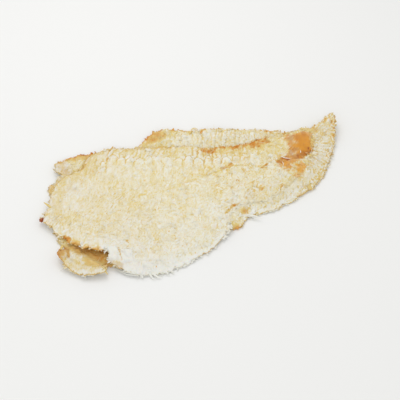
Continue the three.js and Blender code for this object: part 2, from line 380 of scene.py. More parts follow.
def spot(x, y, place, reach):
    """1 at a place, fading to 0 over a reach."""
    return math.exp(-(((x - place[0]) / reach[0]) ** 2 + ((y - place[1]) / reach[-1]) ** 2))


def mixed_bumps(x, y, *layers):
    """Bumps of several sizes, each given as its share, size and seed."""
    return sum(share * bumps(x, y, size, seed) for share, size, seed in layers)


def near_line(x, y, line, far, close, rough, size, seed):
    """1 within close of a line, fading to 0 at far; bumps make that border uneven."""
    return smoothstep(far, close, along_line(x, y, line) + rough * bumps(x, y, size, seed))


def near_spot(x, y, place, reach, low, high, rough, size, seed):
    """1 in the middle of a spot, fading to 0 outside it; bumps make that border uneven."""
    return smoothstep(low, high, spot(x, y, place, reach) + rough * bumps(x, y, size, seed))


# Relief of the flesh


def plates(x, y, along, across, lean, seed):
    """Small plates of flesh, each tipped a little: height about 0 to 1, and 1 in the cracks between them."""
    u = (x - lean * y + 0.42 * across * bumps(x, y, 0.8 * across, seed)) / across
    v = (y + lean * x * 0.2 + 0.42 * along * bumps(x, y, 0.8 * along, seed + 1)) / along
    distances, points = noise.voronoi(Vector((u, v, seed)))
    chance = noise.cell_vector(points[0])
    tipped = (u - points[0].x) * (chance.x - 0.2) + (v - points[0].y) * (chance.y - 0.5)
    crack = smoothstep(0.16, 0.0, distances[1] - distances[0])
    return 0.55 * chance.z + 0.8 * tipped + 0.2 - 0.35 * crack, crack


def tongues(x, y, rim, pitch, row, seed):
    """Rounded tongues side by side, with a lower row of shorter ones between their tips and the rim.

    Returns the height, 0 to 1, and how deep in a crack between two tongues or under a tip the point is.
    """
    wander = 2.0 * bumps(x, y, 17, seed) + 0.7 * bumps(x, y, 6, seed + 1) + 0.35 * bumps(x, y, 2, seed + 2)
    broken = smoothstep(-0.5, 0.5, bumps(x, y, 5, seed + 3))
    across = (x - TONGUE_LEAN * y + wander) / pitch
    number = math.floor(across)
    share = across - number
    chance = noise.cell(Vector((number * 3.7, seed, 1.5)))
    end = row + 1.8 * chance + 0.4 * pitch * (2 * share - 1) ** 2
    tip = rim - end
    if tip > 0:
        height = 1 - abs(2 * share - 1) ** 2.6 + 0.2 * chance
        rounded = math.sqrt(1 - (1 - clamp(tip / 2.4)) ** 2)
        between = smoothstep(0.12, 0.0, min(share, 1 - share)) * smoothstep(10, 3, tip)
        return height * (0.35 + 0.65 * rounded), broken * max(between, smoothstep(0.8, 0.0, tip))
    short = (x - TONGUE_LEAN * 1.3 * y + 2 * wander) / (0.62 * pitch)
    share = short - math.floor(short)
    height = 0.55 - 0.5 * abs(2 * share - 1) ** 2.2 - 0.25 * smoothstep(-1.5, 0, tip)
    under = 0.9 * smoothstep(-1.2, 0, tip)
    return height, broken * max(under, smoothstep(0.18, 0.0, min(share, 1 - share)))


def ridge_at(along, across, seed):
    """Height of fine ridges that run along, -0.4 to 1."""
    return clamp(1 - abs(noise.noise(Vector((along, across, seed)))) * 2.4, -0.4, 1)


def strands(x, y, angle, width, length, seed):
    """Fine ridges that run one way."""
    cos, sin = math.cos(angle), math.sin(angle)
    return ridge_at((cos * x + sin * y) / length, (cos * y - sin * x) / width, seed)


def rays(x, y, middle, width, length, seed):
    """Fine ridges that run outwards from a middle; width is theirs 25 from it."""
    dx, dy = x - middle[0], y - middle[1]
    return ridge_at(math.hypot(dx, dy) / length, 25 * math.atan2(dy, dx) / width, seed)


def skin_at(x, y):
    """1 on the patch of hard skin, fading to 0 round it: softly towards the head, sharply at the tail."""
    ragged = mixed_bumps(x, y, (1.8, 5, 29), (1.2, 2.2, 30), (0.7, 1.1, 32))
    soft = smoothstep(74, 60, x)
    depth = inside_depth(x, y, SKIN_PATCH) + ragged * mix(1, 0.45, smoothstep(70, 84, x))
    depth += 2.4 * soft * (bumps(x, y, 1.5, 131) + strands(x, y, math.radians(-35), 1.2, 6, 132) - 0.5)
    return smoothstep(mix(-0.8, -2.5, soft), mix(1.6, 5, soft), depth)


def upper_features(x, y, rim):
    """What the relief and the tints of the upper fillet share: how far a point is part of each feature."""
    at = SimpleNamespace()
    at.back = smoothstep(-3, 9, y - backbone_at(x))
    at.tail = smoothstep(28, 62, x)
    at.fade = at.back * (0.45 + 0.55 * smoothstep(-0.5, 0.5, bumps(x, y, 13, 3))) * (1 - 0.75 * at.tail)
    at.fade *= mix(0.1, 1, smoothstep(20, 12, rim + 3 * bumps(x, y, 9, 4))) * smoothstep(-72, -45, x)
    at.row = at.fade * smoothstep(20, 12, rim)
    at.grain = mix(math.radians(-4), math.radians(62), at.back * (1 - at.tail)) + 0.5 * bumps(x, y, 16, 12)
    at.crease = crease_at(x, y)
    at.line = along_line(x, y, BACKBONE) + 0.6 * bumps(x, y, 3, 27)
    at.shown = smoothstep(0.0, 0.5, bumps(x, y, 8, 28)) * (1 - at.tail)
    at.skin = skin_at(x, y)
    at.crack = near_line(x, y, SKIN_CRACK, 3.0, 1.1, 0.5, 2.5, 35)
    at.crack *= 0.7 + 0.3 * smoothstep(-0.5, 0.3, bumps(x, y, 3, 36))
    at.corner = spot(x, y, (88, 1.5), (3, 5)) * at.skin
    at.gap = near_line(x, y, BLOCK_GAP, 1.3, 0.4, 0.3, 2, 122)
    at.block = block_at(x, y, 1.6) * (1 - 0.65 * at.gap)
    low_front = smoothstep(-24, -42, y + 0.12 * x)
    at.front = low_front * mix(0.3 * smoothstep(3, -8, x), 1, smoothstep(-16, -44, x))
    at.front_rim = low_front * smoothstep(2.6, 0.6, rim)
    at.inner = at.front * smoothstep(26, 6, rim + 3 * bumps(x, y, 6, 60))
    at.curled = smoothstep(8, 18, x) * smoothstep(66, 52, x) * at.back
    at.band = rim + mixed_bumps(x, y, (1.6, 5, 49), (0.9, 1.8, 50))
    at.edge = rim + 0.9 * bumps(x, y, 3, 51)
    at.left = smoothstep(-88, -100, x)
    at.near = smoothstep(-6, -12, y) * smoothstep(-84, -88, x) * smoothstep(-0.35, 0.35, bumps(x, y, 5, 116))
    at.tan = near_line(x, y, TAN_RIM, 3.2, 1.8, 0.6, 2, 127) * (1 - at.block)
    at.tanned = smoothstep(-72, -60, x) * smoothstep(-8, -18, x) * at.back * smoothstep(3.6, 1.2, at.edge)
    at.seam_edge = seam_at(x, y) * smoothstep(2.2, 0.5, rim + 0.8 * bumps(x, y, 3, 134))
    return at


def upper_relief(x, y, rim, sizes, at):
    """Height of the upper fillet's relief; the cracks that it finds are added to the features."""
    pitch, depth, plate_depth = sizes
    tongue, at.tongue_crack = tongues(x, y, rim, pitch, 10, 1)
    lengths = mix(4.6, 7, at.back), mix(3.8, 3.1, at.back)
    plate, plate_crack = plates(x, y, *lengths, mix(0.1, 0.5, at.back), 5)
    small, small_crack = plates(x, y, 2.4, 1.8, 0.3, 9)
    at.plate_crack = max(plate_crack, 0.6 * small_crack)
    height = depth * at.fade * (tongue - 0.55)
    height += plate_depth * (plate - 0.4) * mix(1, 0.7, at.back) * (1 - 0.5 * at.row)
    height += 0.3 * plate_depth * (small - 0.4) + 0.07 * strands(x, y, at.grain, 0.9, 5, 13)
    height += 0.05 * mixed_bumps(x, y, (0.5, 1.3, 17), (0.3, 0.7, 19))
    height *= mix(1, 1.25, smoothstep(-15, 15, x))
    height += mixed_bumps(x, y, (0.35, 14, 23), (0.12, 5, 25)) - 0.35 * at.crease
    height -= 0.3 * smoothstep(1.3, 0, at.line) * (0.25 * (1 - at.tail) + 0.75 * at.shown)
    skin_relief = 0.1 + 0.3 * bumps(x, y, 6, 31) + 0.15 * strands(x, y, math.radians(20), 2.2, 9, 33)
    height = mix(height, skin_relief, 0.85 * at.skin) - 0.5 * at.crack
    plank = strands(x, y, math.radians(-74), 1.5, 14, 38)
    return mix(height, 0.6 + 0.45 * plank, block_at(x, y)) - 0.2 * at.gap


def upper_toast(x, y, rim, at):
    """How golden the upper fillet is."""
    toast = 0.4 + mixed_bumps(x, y, (0.16, 15, 41), (0.13, 8, 42), (0.17, 4.5, 43), (0.12, 1.9, 45))
    toast += 0.12 * strands(x, y, at.grain, 1.3, 4.5, 46)
    toast += 0.15 * spot(x, y, (-50, 13), (36, 17)) + 0.06 * at.tail
    toast -= 0.1 * smoothstep(2, -22, y) * (1 - at.tail) + 0.12 * seam_at(x, y)
    toast += at.back * (1 - at.tail) * (0.3 * smoothstep(12, 9, rim) - 0.1) - 0.12 * at.row
    toast += 0.22 * at.plate_crack + 0.7 * at.tongue_crack * at.fade
    toast += 0.3 * at.shown * smoothstep(1.0, 0, at.line)
    fringe = near_spot(x, y, (56, 0), (9, 7), 0.1, 0.7, 0.2, 3, 44) * (1 - at.skin)
    toast += 0.55 * fringe * (0.6 + 0.6 * strands(x, y, math.radians(-35), 1.3, 7, 34))
    toast *= 1 - 0.7 * max(at.block, at.front_rim)
    toast -= 0.2 * at.inner
    streaky = 0.7 + 0.5 * strands(x, y, math.radians(55), 1.4, 6, 67)
    toast += 0.6 * at.curled * smoothstep(12, 5, at.band + 2 * bumps(x, y, 3, 68)) * streaky
    toast += (0.5 * at.back * (1 - 0.8 * at.left) + 1.2 * at.near) * smoothstep(3.4, 0.8, at.edge)
    toast += 0.4 * at.tanned
    return toast * (1 - at.block) + 0.12 * at.gap + 0.5 * at.tan + 0.25 * at.seam_edge


def upper_brown(x, y, rim, at):
    """How browned the upper fillet is."""
    blotch = max(1 - along_line(x, y, line) / reach for line, reach in BLOTCHES)
    blotch = smoothstep(-0.1, 0.6, blotch + mixed_bumps(x, y, (0.45, 3.6, 48), (0.3, 1.5, 52)))
    streak = strands(x, y, math.radians(35), 1.3, 4, 64)
    brown = at.back * blotch * (0.48 + 0.4 * bumps(x, y, 2.2, 66) + 0.4 * streak)
    brown += 0.35 * at.curled * smoothstep(2.2, 0.6, at.band) * smoothstep(-0.4, 0.4, bumps(x, y, 4, 123))
    burnt = smoothstep(-0.1, 0.5, bumps(x, y, 7, 65))
    rim_brown = 0.45 * at.back * (1 - 0.8 * at.left) + 0.08 * at.left
    brown += rim_brown * (0.25 + 0.75 * burnt) * smoothstep(1.5, 0.2, at.edge)
    brown += 0.3 * at.near * smoothstep(1.4, 0.4, at.edge) + 0.7 * at.crease
    between = at.tongue_crack * at.fade * smoothstep(14, 9, rim)
    brown += 0.6 * between * smoothstep(-0.1, 0.4, bumps(x, y, 5, 53))
    brown += 0.5 * at.shown * smoothstep(0.7, 0, at.line) * smoothstep(0.1, 0.5, bumps(x, y, 4, 54))
    for place, reach in MARKS:
        brown += 0.55 * near_spot(x, y, place, (reach, 0.8 * reach), 0.3, 1, 0.35, 1.3, 69)
    # The rim above the lower lobe gets a painted glow in brown
    brown += 0.9 * near_line(x, y, GLOW, 2.3, 0.8, 0.8, 2, 117)
    streak = strands(x, y, math.radians(14) + 0.3 * bumps(x, y, 10, 140), 1.5, 4.5, 55)
    marked = smoothstep(0.6, 0.95, streak) * smoothstep(0, 0.5, bumps(x, y, 6, 139))
    return brown * (1 - at.block) + 0.36 * marked * smoothstep(-30, 20, x)


def upper_pale(x, y, rim, at):
    """How white and freshly torn the upper fillet is."""
    reach = mix(4, 9, smoothstep(-28, -62, x)) + 4 * bumps(x, y, 7, 39)
    pale = 0.85 * at.front * smoothstep(reach, 0.3 * reach, rim)
    pale += 0.32 * smoothstep(0.1, 0.8, bumps(x, y, 3.4, 47))
    pale += 0.45 * smoothstep(0.5, 0.95, strands(x, y, at.grain + 0.4, 1.1, 3.5, 56))
    pale = max(pale, 0.95 * at.block) * (1 - 0.5 * at.gap)
    pale = max(pale, 0.55 * at.front_rim) + 0.24 * at.inner
    pale += at.left * smoothstep(9, 2, at.edge) * (0.25 + 0.45 * bumps(x, y, 2.4, 128))
    pale *= 1 - at.near * smoothstep(3.6, 1.6, at.edge)
    return pale * (1 - at.tan) * (1 - 0.5 * at.seam_edge) + 0.5 * at.corner


def upper_skin_tints(x, y, rim, at):
    """How amber, glossy and dark the upper fillet is, from scorching and from some painted shade: mostly on
    its patches of skin.
    """
    second = near_spot(x, y, (57.2, -17), (4.2, 5.2), 0.25, 0.75, 0.35, 2, 57)
    second = max(second, 0.85 * near_spot(x, y, (63.4, -16.8), (4.6, 2.2), 0.25, 0.75, 0.3, 1.6, 137))
    bright = spot(x, y, (80.5, -5), (5.2, 5.6))
    streak = strands(x, y, math.radians(35), 1.6, 7, 58)
    mottle = mixed_bumps(x, y, (0.45, 4, 58), (0.2, 1.3, 124)) + 0.28 * streak
    amber = at.skin * clamp(mix(0.58, 0.68, smoothstep(68, 76, x)) + mottle + bright)
    near_rim = 0.35 * at.near * smoothstep(2.2, 0.6, at.edge)
    amber = max(amber, 0.85 * second, 0.7 * third_patch(x, y), at.crack, near_rim)
    dark = smoothstep(-0.2, 1, bumps(x, y, 4, 61) + 0.6 * streak)
    scorch_and_shade = at.crack * (0.4 + 0.3 * bumps(x, y, 2, 133)) + 0.16 * at.tan + 0.1 * at.tanned
    scorch_and_shade += at.skin * (0.12 + 0.28 * dark) * (1 - max(0.8 * bright, at.corner))
    # Painted shade: the left end and the back rim are darkened with the scorched colour
    scorch_and_shade += 0.035 * smoothstep(-20, -80, x) + 0.04 * at.back * (1 - at.tail) * smoothstep(14, 8, rim)
    scorch_and_shade += 0.3 * second * smoothstep(-0.3, 0.6, bumps(x, y, 2, 63))
    scorch_and_shade += 0.8 * spot(x, y, SKIN_PIT, (0.9, 0.9))
    scorch_and_shade += 0.95 * smoothstep(0.3, 0.7, spot(x, y, (-111, 14), (1.8, 1.6)))
    gloss = max(at.skin * (0.55 + 0.45 * bright), 0.45 * second, 0.8 * at.crack)
    return amber * (1 - 0.35 * at.corner), scorch_and_shade, gloss


def flesh_of_upper(x, y, rim, sizes):
    """Relief and tints of the upper fillet at a point; rim is the distance to its torn rim."""
    at = upper_features(x, y, rim)
    height = upper_relief(x, y, rim, sizes, at)
    tints = [tint(x, y, rim, at) for tint in (upper_toast, upper_brown, upper_pale)]
    return height, tuple(clamp(tint) for tint in (*tints, *upper_skin_tints(x, y, rim, at)))


def third_patch(x, y):
    """The palest patch of skin, which runs over the upper fillet's rim on to the lower one."""
    along, across = 0.83 * (x - 65) + 0.55 * (y + 24), -0.55 * (x - 65) + 0.83 * (y + 24)
    return smoothstep(0.25, 0.85, spot(along, across, (0, 0), (8, 3.4)) + 0.35 * bumps(x, y, 2.5, 59))


def lower_features(x, y, rim):
    """What the relief and the tints of the lower fillet share: how far a point is part of each feature."""
    at = SimpleNamespace()
    at.tail = smoothstep(40, 80, x)
    at.back = smoothstep(10, 24, y) * smoothstep(-40, -25, x) * (1 - at.tail)
    at.lobe = smoothstep(-84, -92, x) * smoothstep(4, -10, y)
    at.bottom = at.lobe * smoothstep(-28, -36, y)
    at.upper_left = smoothstep(-74, -80, x) * smoothstep(28, 36, y)
    at.left_bit = near_spot(x, y, (-95, 40), (4, 4), 0.15, 0.8, 0.25, 2.5, 113)
    at.crease = crease_at(x, y)
    at.grain = mix(math.radians(60), math.radians(28), max(at.tail, at.lobe)) + 0.35 * bumps(x, y, 14, 82)
    at.ray = 0.6 * rays(x, y, SKIN_MIDDLE, 1.3, 8, 84) + 0.5 * rays(x, y, SKIN_MIDDLE, 0.6, 6, 85)
    at.crumbly = smoothstep(48, 72, x) * smoothstep(5, 2, rim + 1.5 * bumps(x, y, 6, 109))
    at.crumb = mixed_bumps(x, y, (1, 2.0, 110), (0.5, 1.0, 111))
    at.facing = mix(0.2, 1, smoothstep(-25, -5, y))
    at.ragged = rim + mixed_bumps(x, y, (1.2, 3, 98), (0.6, 1.4, 103))
    at.valley = near_line(x, y, VALLEY, 10, 2.5, 1.5, 4, 104)
    at.fold = strands(x, y, math.radians(-35), 1.3, 6, 105)
    at.golden = near_line(x, y, LOBE_GOLD, 7, 0.5, 1.6, 2.6, 135) * (1 - at.valley)
    at.curved = strands(x + 0.03 * (y + 30) ** 2, y, math.radians(-28), 1.4, 16, 114)
    at.cup_side = along_line(x, y, CUP) + 1.2 * bumps(x, y, 3, 112)
    at.cup = smoothstep(6.2, 4.0, at.cup_side)
    at.in_cup = at.cup * mix(0.35, 1, smoothstep(4.8, 1.5, at.cup_side))
    at.cup_line = near_line(x, y, CUP_LINE, 1.4, 0.4, 0.3, 2, 125)
    at.cup_streak = strands(x, y, math.radians(70), 1.2, 6, 126)
    at.torn = smoothstep(4, 12, x) * smoothstep(66, 50, x) * smoothstep(-24, -30, y) * smoothstep(6, 2, rim)
    at.lengthwise = strands(x, y, math.radians(8), 1.0, 9, 119)
    return at


def lower_relief(x, y, rim, sizes, at):
    """Height of the lower fillet's relief; the cracks that it finds are added to the features."""
    pitch, depth, plate_depth = sizes
    tongue, at.tongue_crack = tongues(x, y, rim + 12, 0.55 * pitch, 10, 71)
    lengths = mix(4.4, 6, at.back), mix(3.1, 2.3, at.tail)
    plate, plate_crack = plates(x, y, *lengths, mix(0.5, -0.9, at.tail), 75)
    small, small_crack = plates(x, y, 2.2, 1.6, 0.3, 79)
    at.plate_crack = max(plate_crack, 0.6 * small_crack)
    shown = 0.5 + 0.9 * smoothstep(-0.5, 0.5, bumps(x, y, 9, 72))
    height = 0.24 * depth * at.back * (tongue - 0.5) * shown
    height += plate_depth * (plate - 0.4) * mix(1, 0.45, at.lobe)
    height += 0.35 * plate_depth * (small - 0.4) * mix(1, 0.5, at.lobe)
    height += 0.09 * mix(strands(x, y, at.grain, 0.85, 5, 83), 2.6 * at.ray, at.tail)
    height += mixed_bumps(x, y, (0.06, 1.2, 87), (0.3, 12, 89)) - 0.3 * at.crease
    height += 0.45 * at.crumbly * at.crumb + 0.4 * at.valley * at.fold
    height += 0.7 * smoothstep(0, 4.5, at.cup_side) * at.cup - 0.6 * at.cup_line
    return height + 0.16 * at.lobe * at.curved + 0.15 * at.torn * at.lengthwise


def lower_toast(x, y, rim, at):
    """How golden the lower fillet is."""
    toast = 0.38 + mixed_bumps(x, y, (0.14, 13, 91), (0.2, 4, 93), (0.13, 1.8, 95))
    toast += at.tail * (0.4 + 0.15 * bumps(x, y, 2.6, 108)) + at.crumbly * (0.45 - 0.5 * at.crumb)
    toast += 0.3 * at.plate_crack + 0.15 * at.tongue_crack * at.back
    toast += 0.14 * strands(x, y, at.grain, 1.2, 5, 96) - 0.12 * at.back - 0.6 * at.tail * at.ray
    toast += 0.5 * smoothstep(4.5, 1, at.ragged) * smoothstep(-70, -50, x)
    toast += 0.3 * smoothstep(2.5, 0.4, at.ragged) - 0.15 * at.tail * smoothstep(-28, -36, y)
    toast += 0.4 * smoothstep(0.1, 0.5, spot(x, y, BROWNED_END, (16, 8)))
    # The gold added for the valley is painted shade
    toast += 0.5 * at.valley + at.golden * (0.35 + 0.4 * at.fold + 0.3 * bumps(x, y, 1.3, 138))
    toast += 0.9 * at.cup + 0.8 * at.left_bit
    toast += at.lobe * (0.45 * smoothstep(0.4, 0.9, at.curved) + 0.45 * smoothstep(2.4, 0.6, rim))
    return toast - at.bottom * (0.15 + 0.6 * smoothstep(3, 0.5, rim)) - 0.42 * at.upper_left


def lower_brown(x, y, rim, at):
    """How browned the lower fillet is."""
    behind = mix(0.1, 1, smoothstep(0, 20, y) * smoothstep(-80, -72, x)) * mix(1, 0.6, smoothstep(32, 45, x))
    brown = 0.5 * smoothstep(1.5, 0.1, rim + bumps(x, y, 3.2, 97)) * behind
    brown += near_line(x, y, LOBE_BACK, 5, 1.5, 1.2, 3, 129) * (0.45 + 0.3 * bumps(x, y, 2, 130))
    end = near_spot(x, y, BROWNED_END, (12, 5), 0.2, 0.9, 0.2, 3, 99)
    brown += end * (0.5 + mixed_bumps(x, y, (0.3, 3.5, 120), (0.2, 1.2, 121)))
    # Painted shade in the valley under the upper fillet's rim, in brown
    fill = 0.56 * mix(0.7, 1, smoothstep(-97, -89, x))
    brown += fill * at.valley * (0.65 + 0.8 * at.fold + 0.5 * bumps(x, y, 1.6, 118))
    brown += at.golden * (0.26 + 0.25 * at.fold + 0.2 * bumps(x, y, 1.4, 136))
    # The inside of the cup and its line are painted browner as shade
    brown += 0.34 * at.in_cup * (1 + 0.4 * at.cup_streak) + 0.35 * at.cup_line
    brown += 0.3 * at.cup * smoothstep(1.6, 0.4, rim) + 0.3 * at.left_bit + 0.6 * at.crease
    brown += sum(share * spot(x, y, place, reach) for place, reach, share in LOWER_MARKS)
    rays_shown = smoothstep(0.1, 0.7, spot(x, y, (88, -16), (14, 12)))
    brown += 0.5 * rays_shown * smoothstep(0.25, -0.3, at.ray)
    brown += 0.55 * at.facing * at.crumbly * smoothstep(0.1, 0.8, -at.crumb) * smoothstep(4, 1, rim)
    marked = strands(x, y, math.radians(30), 1.5, 4.5, 100) - 0.5 * smoothstep(0.5, -0.2, bumps(x, y, 5, 141))
    brown += 0.22 * smoothstep(0.5, 0.9, marked) * smoothstep(0, 40, x)
    patchy = smoothstep(-0.2, 0.5, bumps(x, y, 4, 106))
    return brown + 0.4 * at.facing * smoothstep(2.0, 0.3, at.ragged) * smoothstep(52, 75, x) * patchy


def lower_pale(x, y, rim, at):
    """How white and freshly torn the lower fillet is."""
    pale = 0.4 * smoothstep(0.1, 0.8, bumps(x, y, 3, 101))
    pale += 0.35 * (1 - at.facing) * smoothstep(60, 75, x) * smoothstep(1.6, 0.4, rim)
    pale += 0.45 * smoothstep(0.3, 0.8, at.ray) * spot(x, y, (90, -20), (16, 14))
    pale += at.torn * (0.35 + 0.5 * at.lengthwise) + 0.5 * at.bottom * smoothstep(3, 0.5, rim)
    pale += 0.08 * at.lobe * (1 - at.valley) - at.cup - 0.3 * at.golden
    return pale + 0.35 * smoothstep(0.55, 0.95, strands(x, y, at.grain + 0.3, 1.0, 3.5, 102))


def flesh_of_lower(x, y, rim, sizes):
    """Relief and tints of the lower fillet at a point."""
    at = lower_features(x, y, rim)
    height = lower_relief(x, y, rim, sizes, at)
    tints = [tint(x, y, rim, at) for tint in (lower_toast, lower_brown, lower_pale)]
    # Amber in the valley warms its painted shade
    amber = max(0.4 * third_patch(x, y), 0.12 * at.in_cup, 0.22 * at.valley)
    # Painted shade: the lobe, the tail, the inside and inner line of the curled cup and the upper-left lobe
    # are darkened with the scorched colour
    scorch_and_shade = 0.06 * max(at.lobe, 0.8 * at.tail) + at.in_cup * (0.22 + 0.1 * at.cup_streak)
    scorch_and_shade += 0.1 * at.cup_line + 0.12 * at.upper_left
    return height, (*(clamp(tint) for tint in (*tints, amber, scorch_and_shade)), 0.0)


TINTS = ("toast", "brown", "pale", "amber", "scorch_and_shade", "gloss")
# The attributes of every piece
LAYERS = (*TINTS, "cavity")


# Building the sheets

# How far apart the points along a fillet's upright walls are
WALL_STEP = 0.4
# How far a grid point is shaken, as a share of the grid's cell
SHAKE = 0.3
# How far in from its rim a sheet is still moved when the rim spreads
SPREAD_REACH = 6
# How often a sheet's top and its underside are smoothed before the relief is added
TOP_PASSES, UNDER_PASSES = 24, 8
# How far in a rim is rounded, and how far below the smoothed sheet a hollow looks fully sunk
RIM_ROUND = 1.1
FULL_CAVITY = 0.32
# Small points that stand out of the torn rims and aren't torn off: a middle and a reach
KEPT = [
    (-111, 14, 4), (-110, 9, 4), (-106, 3, 4), (-104.8, 27, 4), (2, -49, 5), (-96, 43, 3), (108, 8, 14),
    (-85, -42, 4),
]


def flat_tree(points):
    """A search tree of points as seen from above."""
    points = list(points)
    tree = KDTree(len(points))
    for index, point in enumerate(points):
        tree.insert((point.x, point.y, 0), index)
    tree.balance()
    return tree


def surface_of(node):
    """A tree of a CAD fillet's surface, and a tree of points along its upright walls, in metres."""
    bm = bmesh.new()
    bm.from_mesh(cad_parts[node].data)
    bmesh.ops.remove_doubles(bm, verts=bm.verts, dist=0.001 * MM)
    bm.normal_update()
    steps = []
    for face in bm.faces:
        upright = abs(face.normal.z) < 0.02
        if upright:
            for edge in face.edges:
                a, b = edge.verts[0].co, edge.verts[1].co
                count = max(1, int((b - a).length / (WALL_STEP * MM)))
                steps += [a.lerp(b, step / count) for step in range(count)]
    tree = BVHTree.FromBMesh(bm)
    bm.free()
    return tree, flat_tree(steps)


def keep_largest(bm):
    """Deletes every scrap that isn't joined to the largest piece."""
    left = set(bm.verts)
    pieces = []
    while left:
        start = left.pop()
        piece, front = {start}, [start]
        while front:
            for edge in front.pop().link_edges:
                for vert in edge.verts:
                    if vert in left:
                        left.remove(vert)
                        piece.add(vert)
                        front.append(vert)
        pieces.append(piece)
    pieces.sort(key=len)
    scraps = [vert for piece in pieces[:-1] for vert in piece]
    bmesh.ops.delete(bm, geom=scraps, context="VERTS")


def rim_verts(bm):
    """The points on the sheet's open rim."""
    return {vert for edge in bm.edges if edge.is_boundary for vert in edge.verts}


def smooth_heights(bm, passes):
    """Evens out the heights and moves nothing sideways."""
    for _ in range(passes):
        bmesh.ops.smooth_vert(
            bm, verts=bm.verts, factor=0.5, use_axis_x=False, use_axis_y=False, use_axis_z=True
        )


def raggedness(x, y, seed):
    """The rim's pattern of rounded lobes with narrow notches; more is deeper."""
    uneven = 0.6 + 0.5 * bumps(x, y, 9, seed)
    share = (0.92 * x + 0.4 * y + 1.4 * bumps(x, y, 7, seed + 4)) / LOBE_PITCH
    between = abs(2 * (share - math.floor(share)) - 1) ** 5
    fine = 0.3 * bumps(x, y, 2.2, seed + 1) + 0.3 * bumps(x, y, 1.1, seed + 2)
    return 0.05 + uneven * (0.75 * between + fine)


def tear_at(node, x, y, seed):
    """How deep the rim is torn at a point of a fillet, as a share of the deepest tear."""
    share = raggedness(x, y, seed)
    for px, py, reach in KEPT:
        share *= smoothstep(0.4 * reach, reach, math.hypot(x - px, y - py))
    if node == "upper_fillet":
        share *= smoothstep(2, 6, along_line(x, y, SEAM))
    return clamp(share, 0.03, 1)


def spread_at(node, x, y):
    """How much of the spread the rim takes at a point: least at the two ends, none at the seam."""
    share = mix(1, 0.15, max(smoothstep(-88, -100, x), smoothstep(98, 108, x)))
    if node == "upper_fillet":
        share *= smoothstep(4, 8, along_line(x, y, SEAM))
        share += sum(extra * spot(x, y, place, (reach,)) for place, reach, extra in BULGES)
    return share


def torn_grid(node, tree, walls, settings, seed):
    """A fine grid over a CAD fillet, cut off along a ragged rim, with the fillet's two heights."""
    cell, tear = settings.cell, settings.tear
    low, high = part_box(node)
    size = high - low
    place = Matrix.Translation((low + high) / 2) @ Matrix.Diagonal((size.x / 2, size.y / 2, 1, 1))
    bm = bmesh.new()
    bmesh.ops.create_grid(
        bm, x_segments=int(size.x / cell), y_segments=int(size.y / cell), size=1, matrix=place
    )
    top, under = (bm.verts.layers.float.new(key) for key in ("top", "under"))
    draw = random.Random(seed)
    lost = []
    for vert in bm.verts:
        x = vert.co.x + draw.uniform(-SHAKE, SHAKE) * cell
        y = vert.co.y + draw.uniform(-SHAKE, SHAKE) * cell
        vert.co = (x, y, 0)
        above = tree.ray_cast(Vector((x, y, high.z + 10 * MM)), DOWN)[0]
        below = tree.ray_cast(Vector((x, y, low.z - 10 * MM)), UP)[0]
        edge, _, wall = walls.find((x, y, 0))
        if above is None or below is None or wall < tear * tear_at(node, x / MM, y / MM, seed):
            lost.append(vert)
            continue
        vert[top], vert[under] = above.z, below.z
        outwards = Vector((edge.x - x, edge.y - y, 0)) / max(wall, 0.01 * MM)
        reach = settings.spread * spread_at(node, x / MM, y / MM)
        vert.co += reach * smoothstep(SPREAD_REACH * MM, 0, wall) * outwards
    bmesh.ops.delete(bm, geom=lost, context="VERTS")
    keep_largest(bm)
    rim = list(rim_verts(bm))
    for _ in range(2):
        bmesh.ops.smooth_vert(bm, verts=rim, factor=0.5, use_axis_x=True, use_axis_y=True, use_axis_z=False)
    for layer, passes in ((top, TOP_PASSES), (under, UNDER_PASSES)):
        for vert in bm.verts:
            vert.co.z = vert[layer]
        smooth_heights(bm, passes)
        for vert in bm.verts:
            vert[layer] = vert.co.z
    return bm, top, under


# The rim points of each finished sheet
RIMS = {}


def rim_points(bm, top, tints):
    """The middle of every edge of the torn rim: place, direction outwards and tints."""
    points = []
    for edge in bm.edges:
        if edge.is_boundary:
            a, b = edge.verts
            middle = (a.co + b.co) / 2
            inward = edge.link_faces[0].calc_center_median() - middle
            outward = Vector((a.co.y - b.co.y, b.co.x - a.co.x, 0)).normalized()
            if outward.x * inward.x + outward.y * inward.y > 0:
                outward = -outward
            middle.z = (a[top] + b[top]) / 2
            points.append((middle, outward, [a[layer] for layer in tints]))
    return points


def level_with(cover, x, y):
    """Height of the covering fillet just inside the part of its rim that is nearest to a point."""
    tree, walls = cover
    near = walls.find((x, y, 0))[0]
    inside = near + (near - Vector((x, y, 0))).normalized() * 1.2 * MM
    hit = tree.ray_cast(Vector((inside.x, inside.y, 1)), DOWN)[0]
    return hit.z if hit else 0


def beside_cover(cover, x, y, top, rim, height, tones):
    """Height, tints and rise of the pressed sheet, at a point and top in metres.

    The sheet is smooth under the covering fillet, gets painted shade in toast and brown beside it, and is
    raised to its level at the seam.
    """
    tree, walls = cover
    away = walls.find((x, y, 0))[2] / MM
    seam = smoothstep(0.3, 0.75, seam_at(x / MM, y / MM)) * smoothstep(0, 4, rim)
    fold = smoothstep(-74, -80, x / MM) * smoothstep(4, -6, y / MM)
    rise = 0
    if tree.ray_cast(Vector((x, y, 0)), UP)[0] is not None:
        height = 0
    else:
        height *= max(seam, smoothstep(0.2, mix(3.5, 1.2, fold), away))
        if seam > 0 and away < 6:
            lack = level_with(cover, x, y) - 0.1 * MM - top
            rise = max(0, lack) * seam * smoothstep(6, 2.5, away)
    # Painted shade beside the covering fillet's rim: more toast and brown, less of it at the seam
    near = smoothstep(4.5, 0, away) * (1 - 0.85 * seam) * smoothstep(-46, -36, y / MM)
    lobe = smoothstep(-72, -80, x / MM) * smoothstep(10, 30, y / MM)
    shade = 0.35 * near * near * (1 - 0.5 * lobe) * (1 - 0.7 * fold)
    return height, (clamp(tones[0] + 0.4 * near), clamp(tones[1] + shade), *tones[2:]), rise


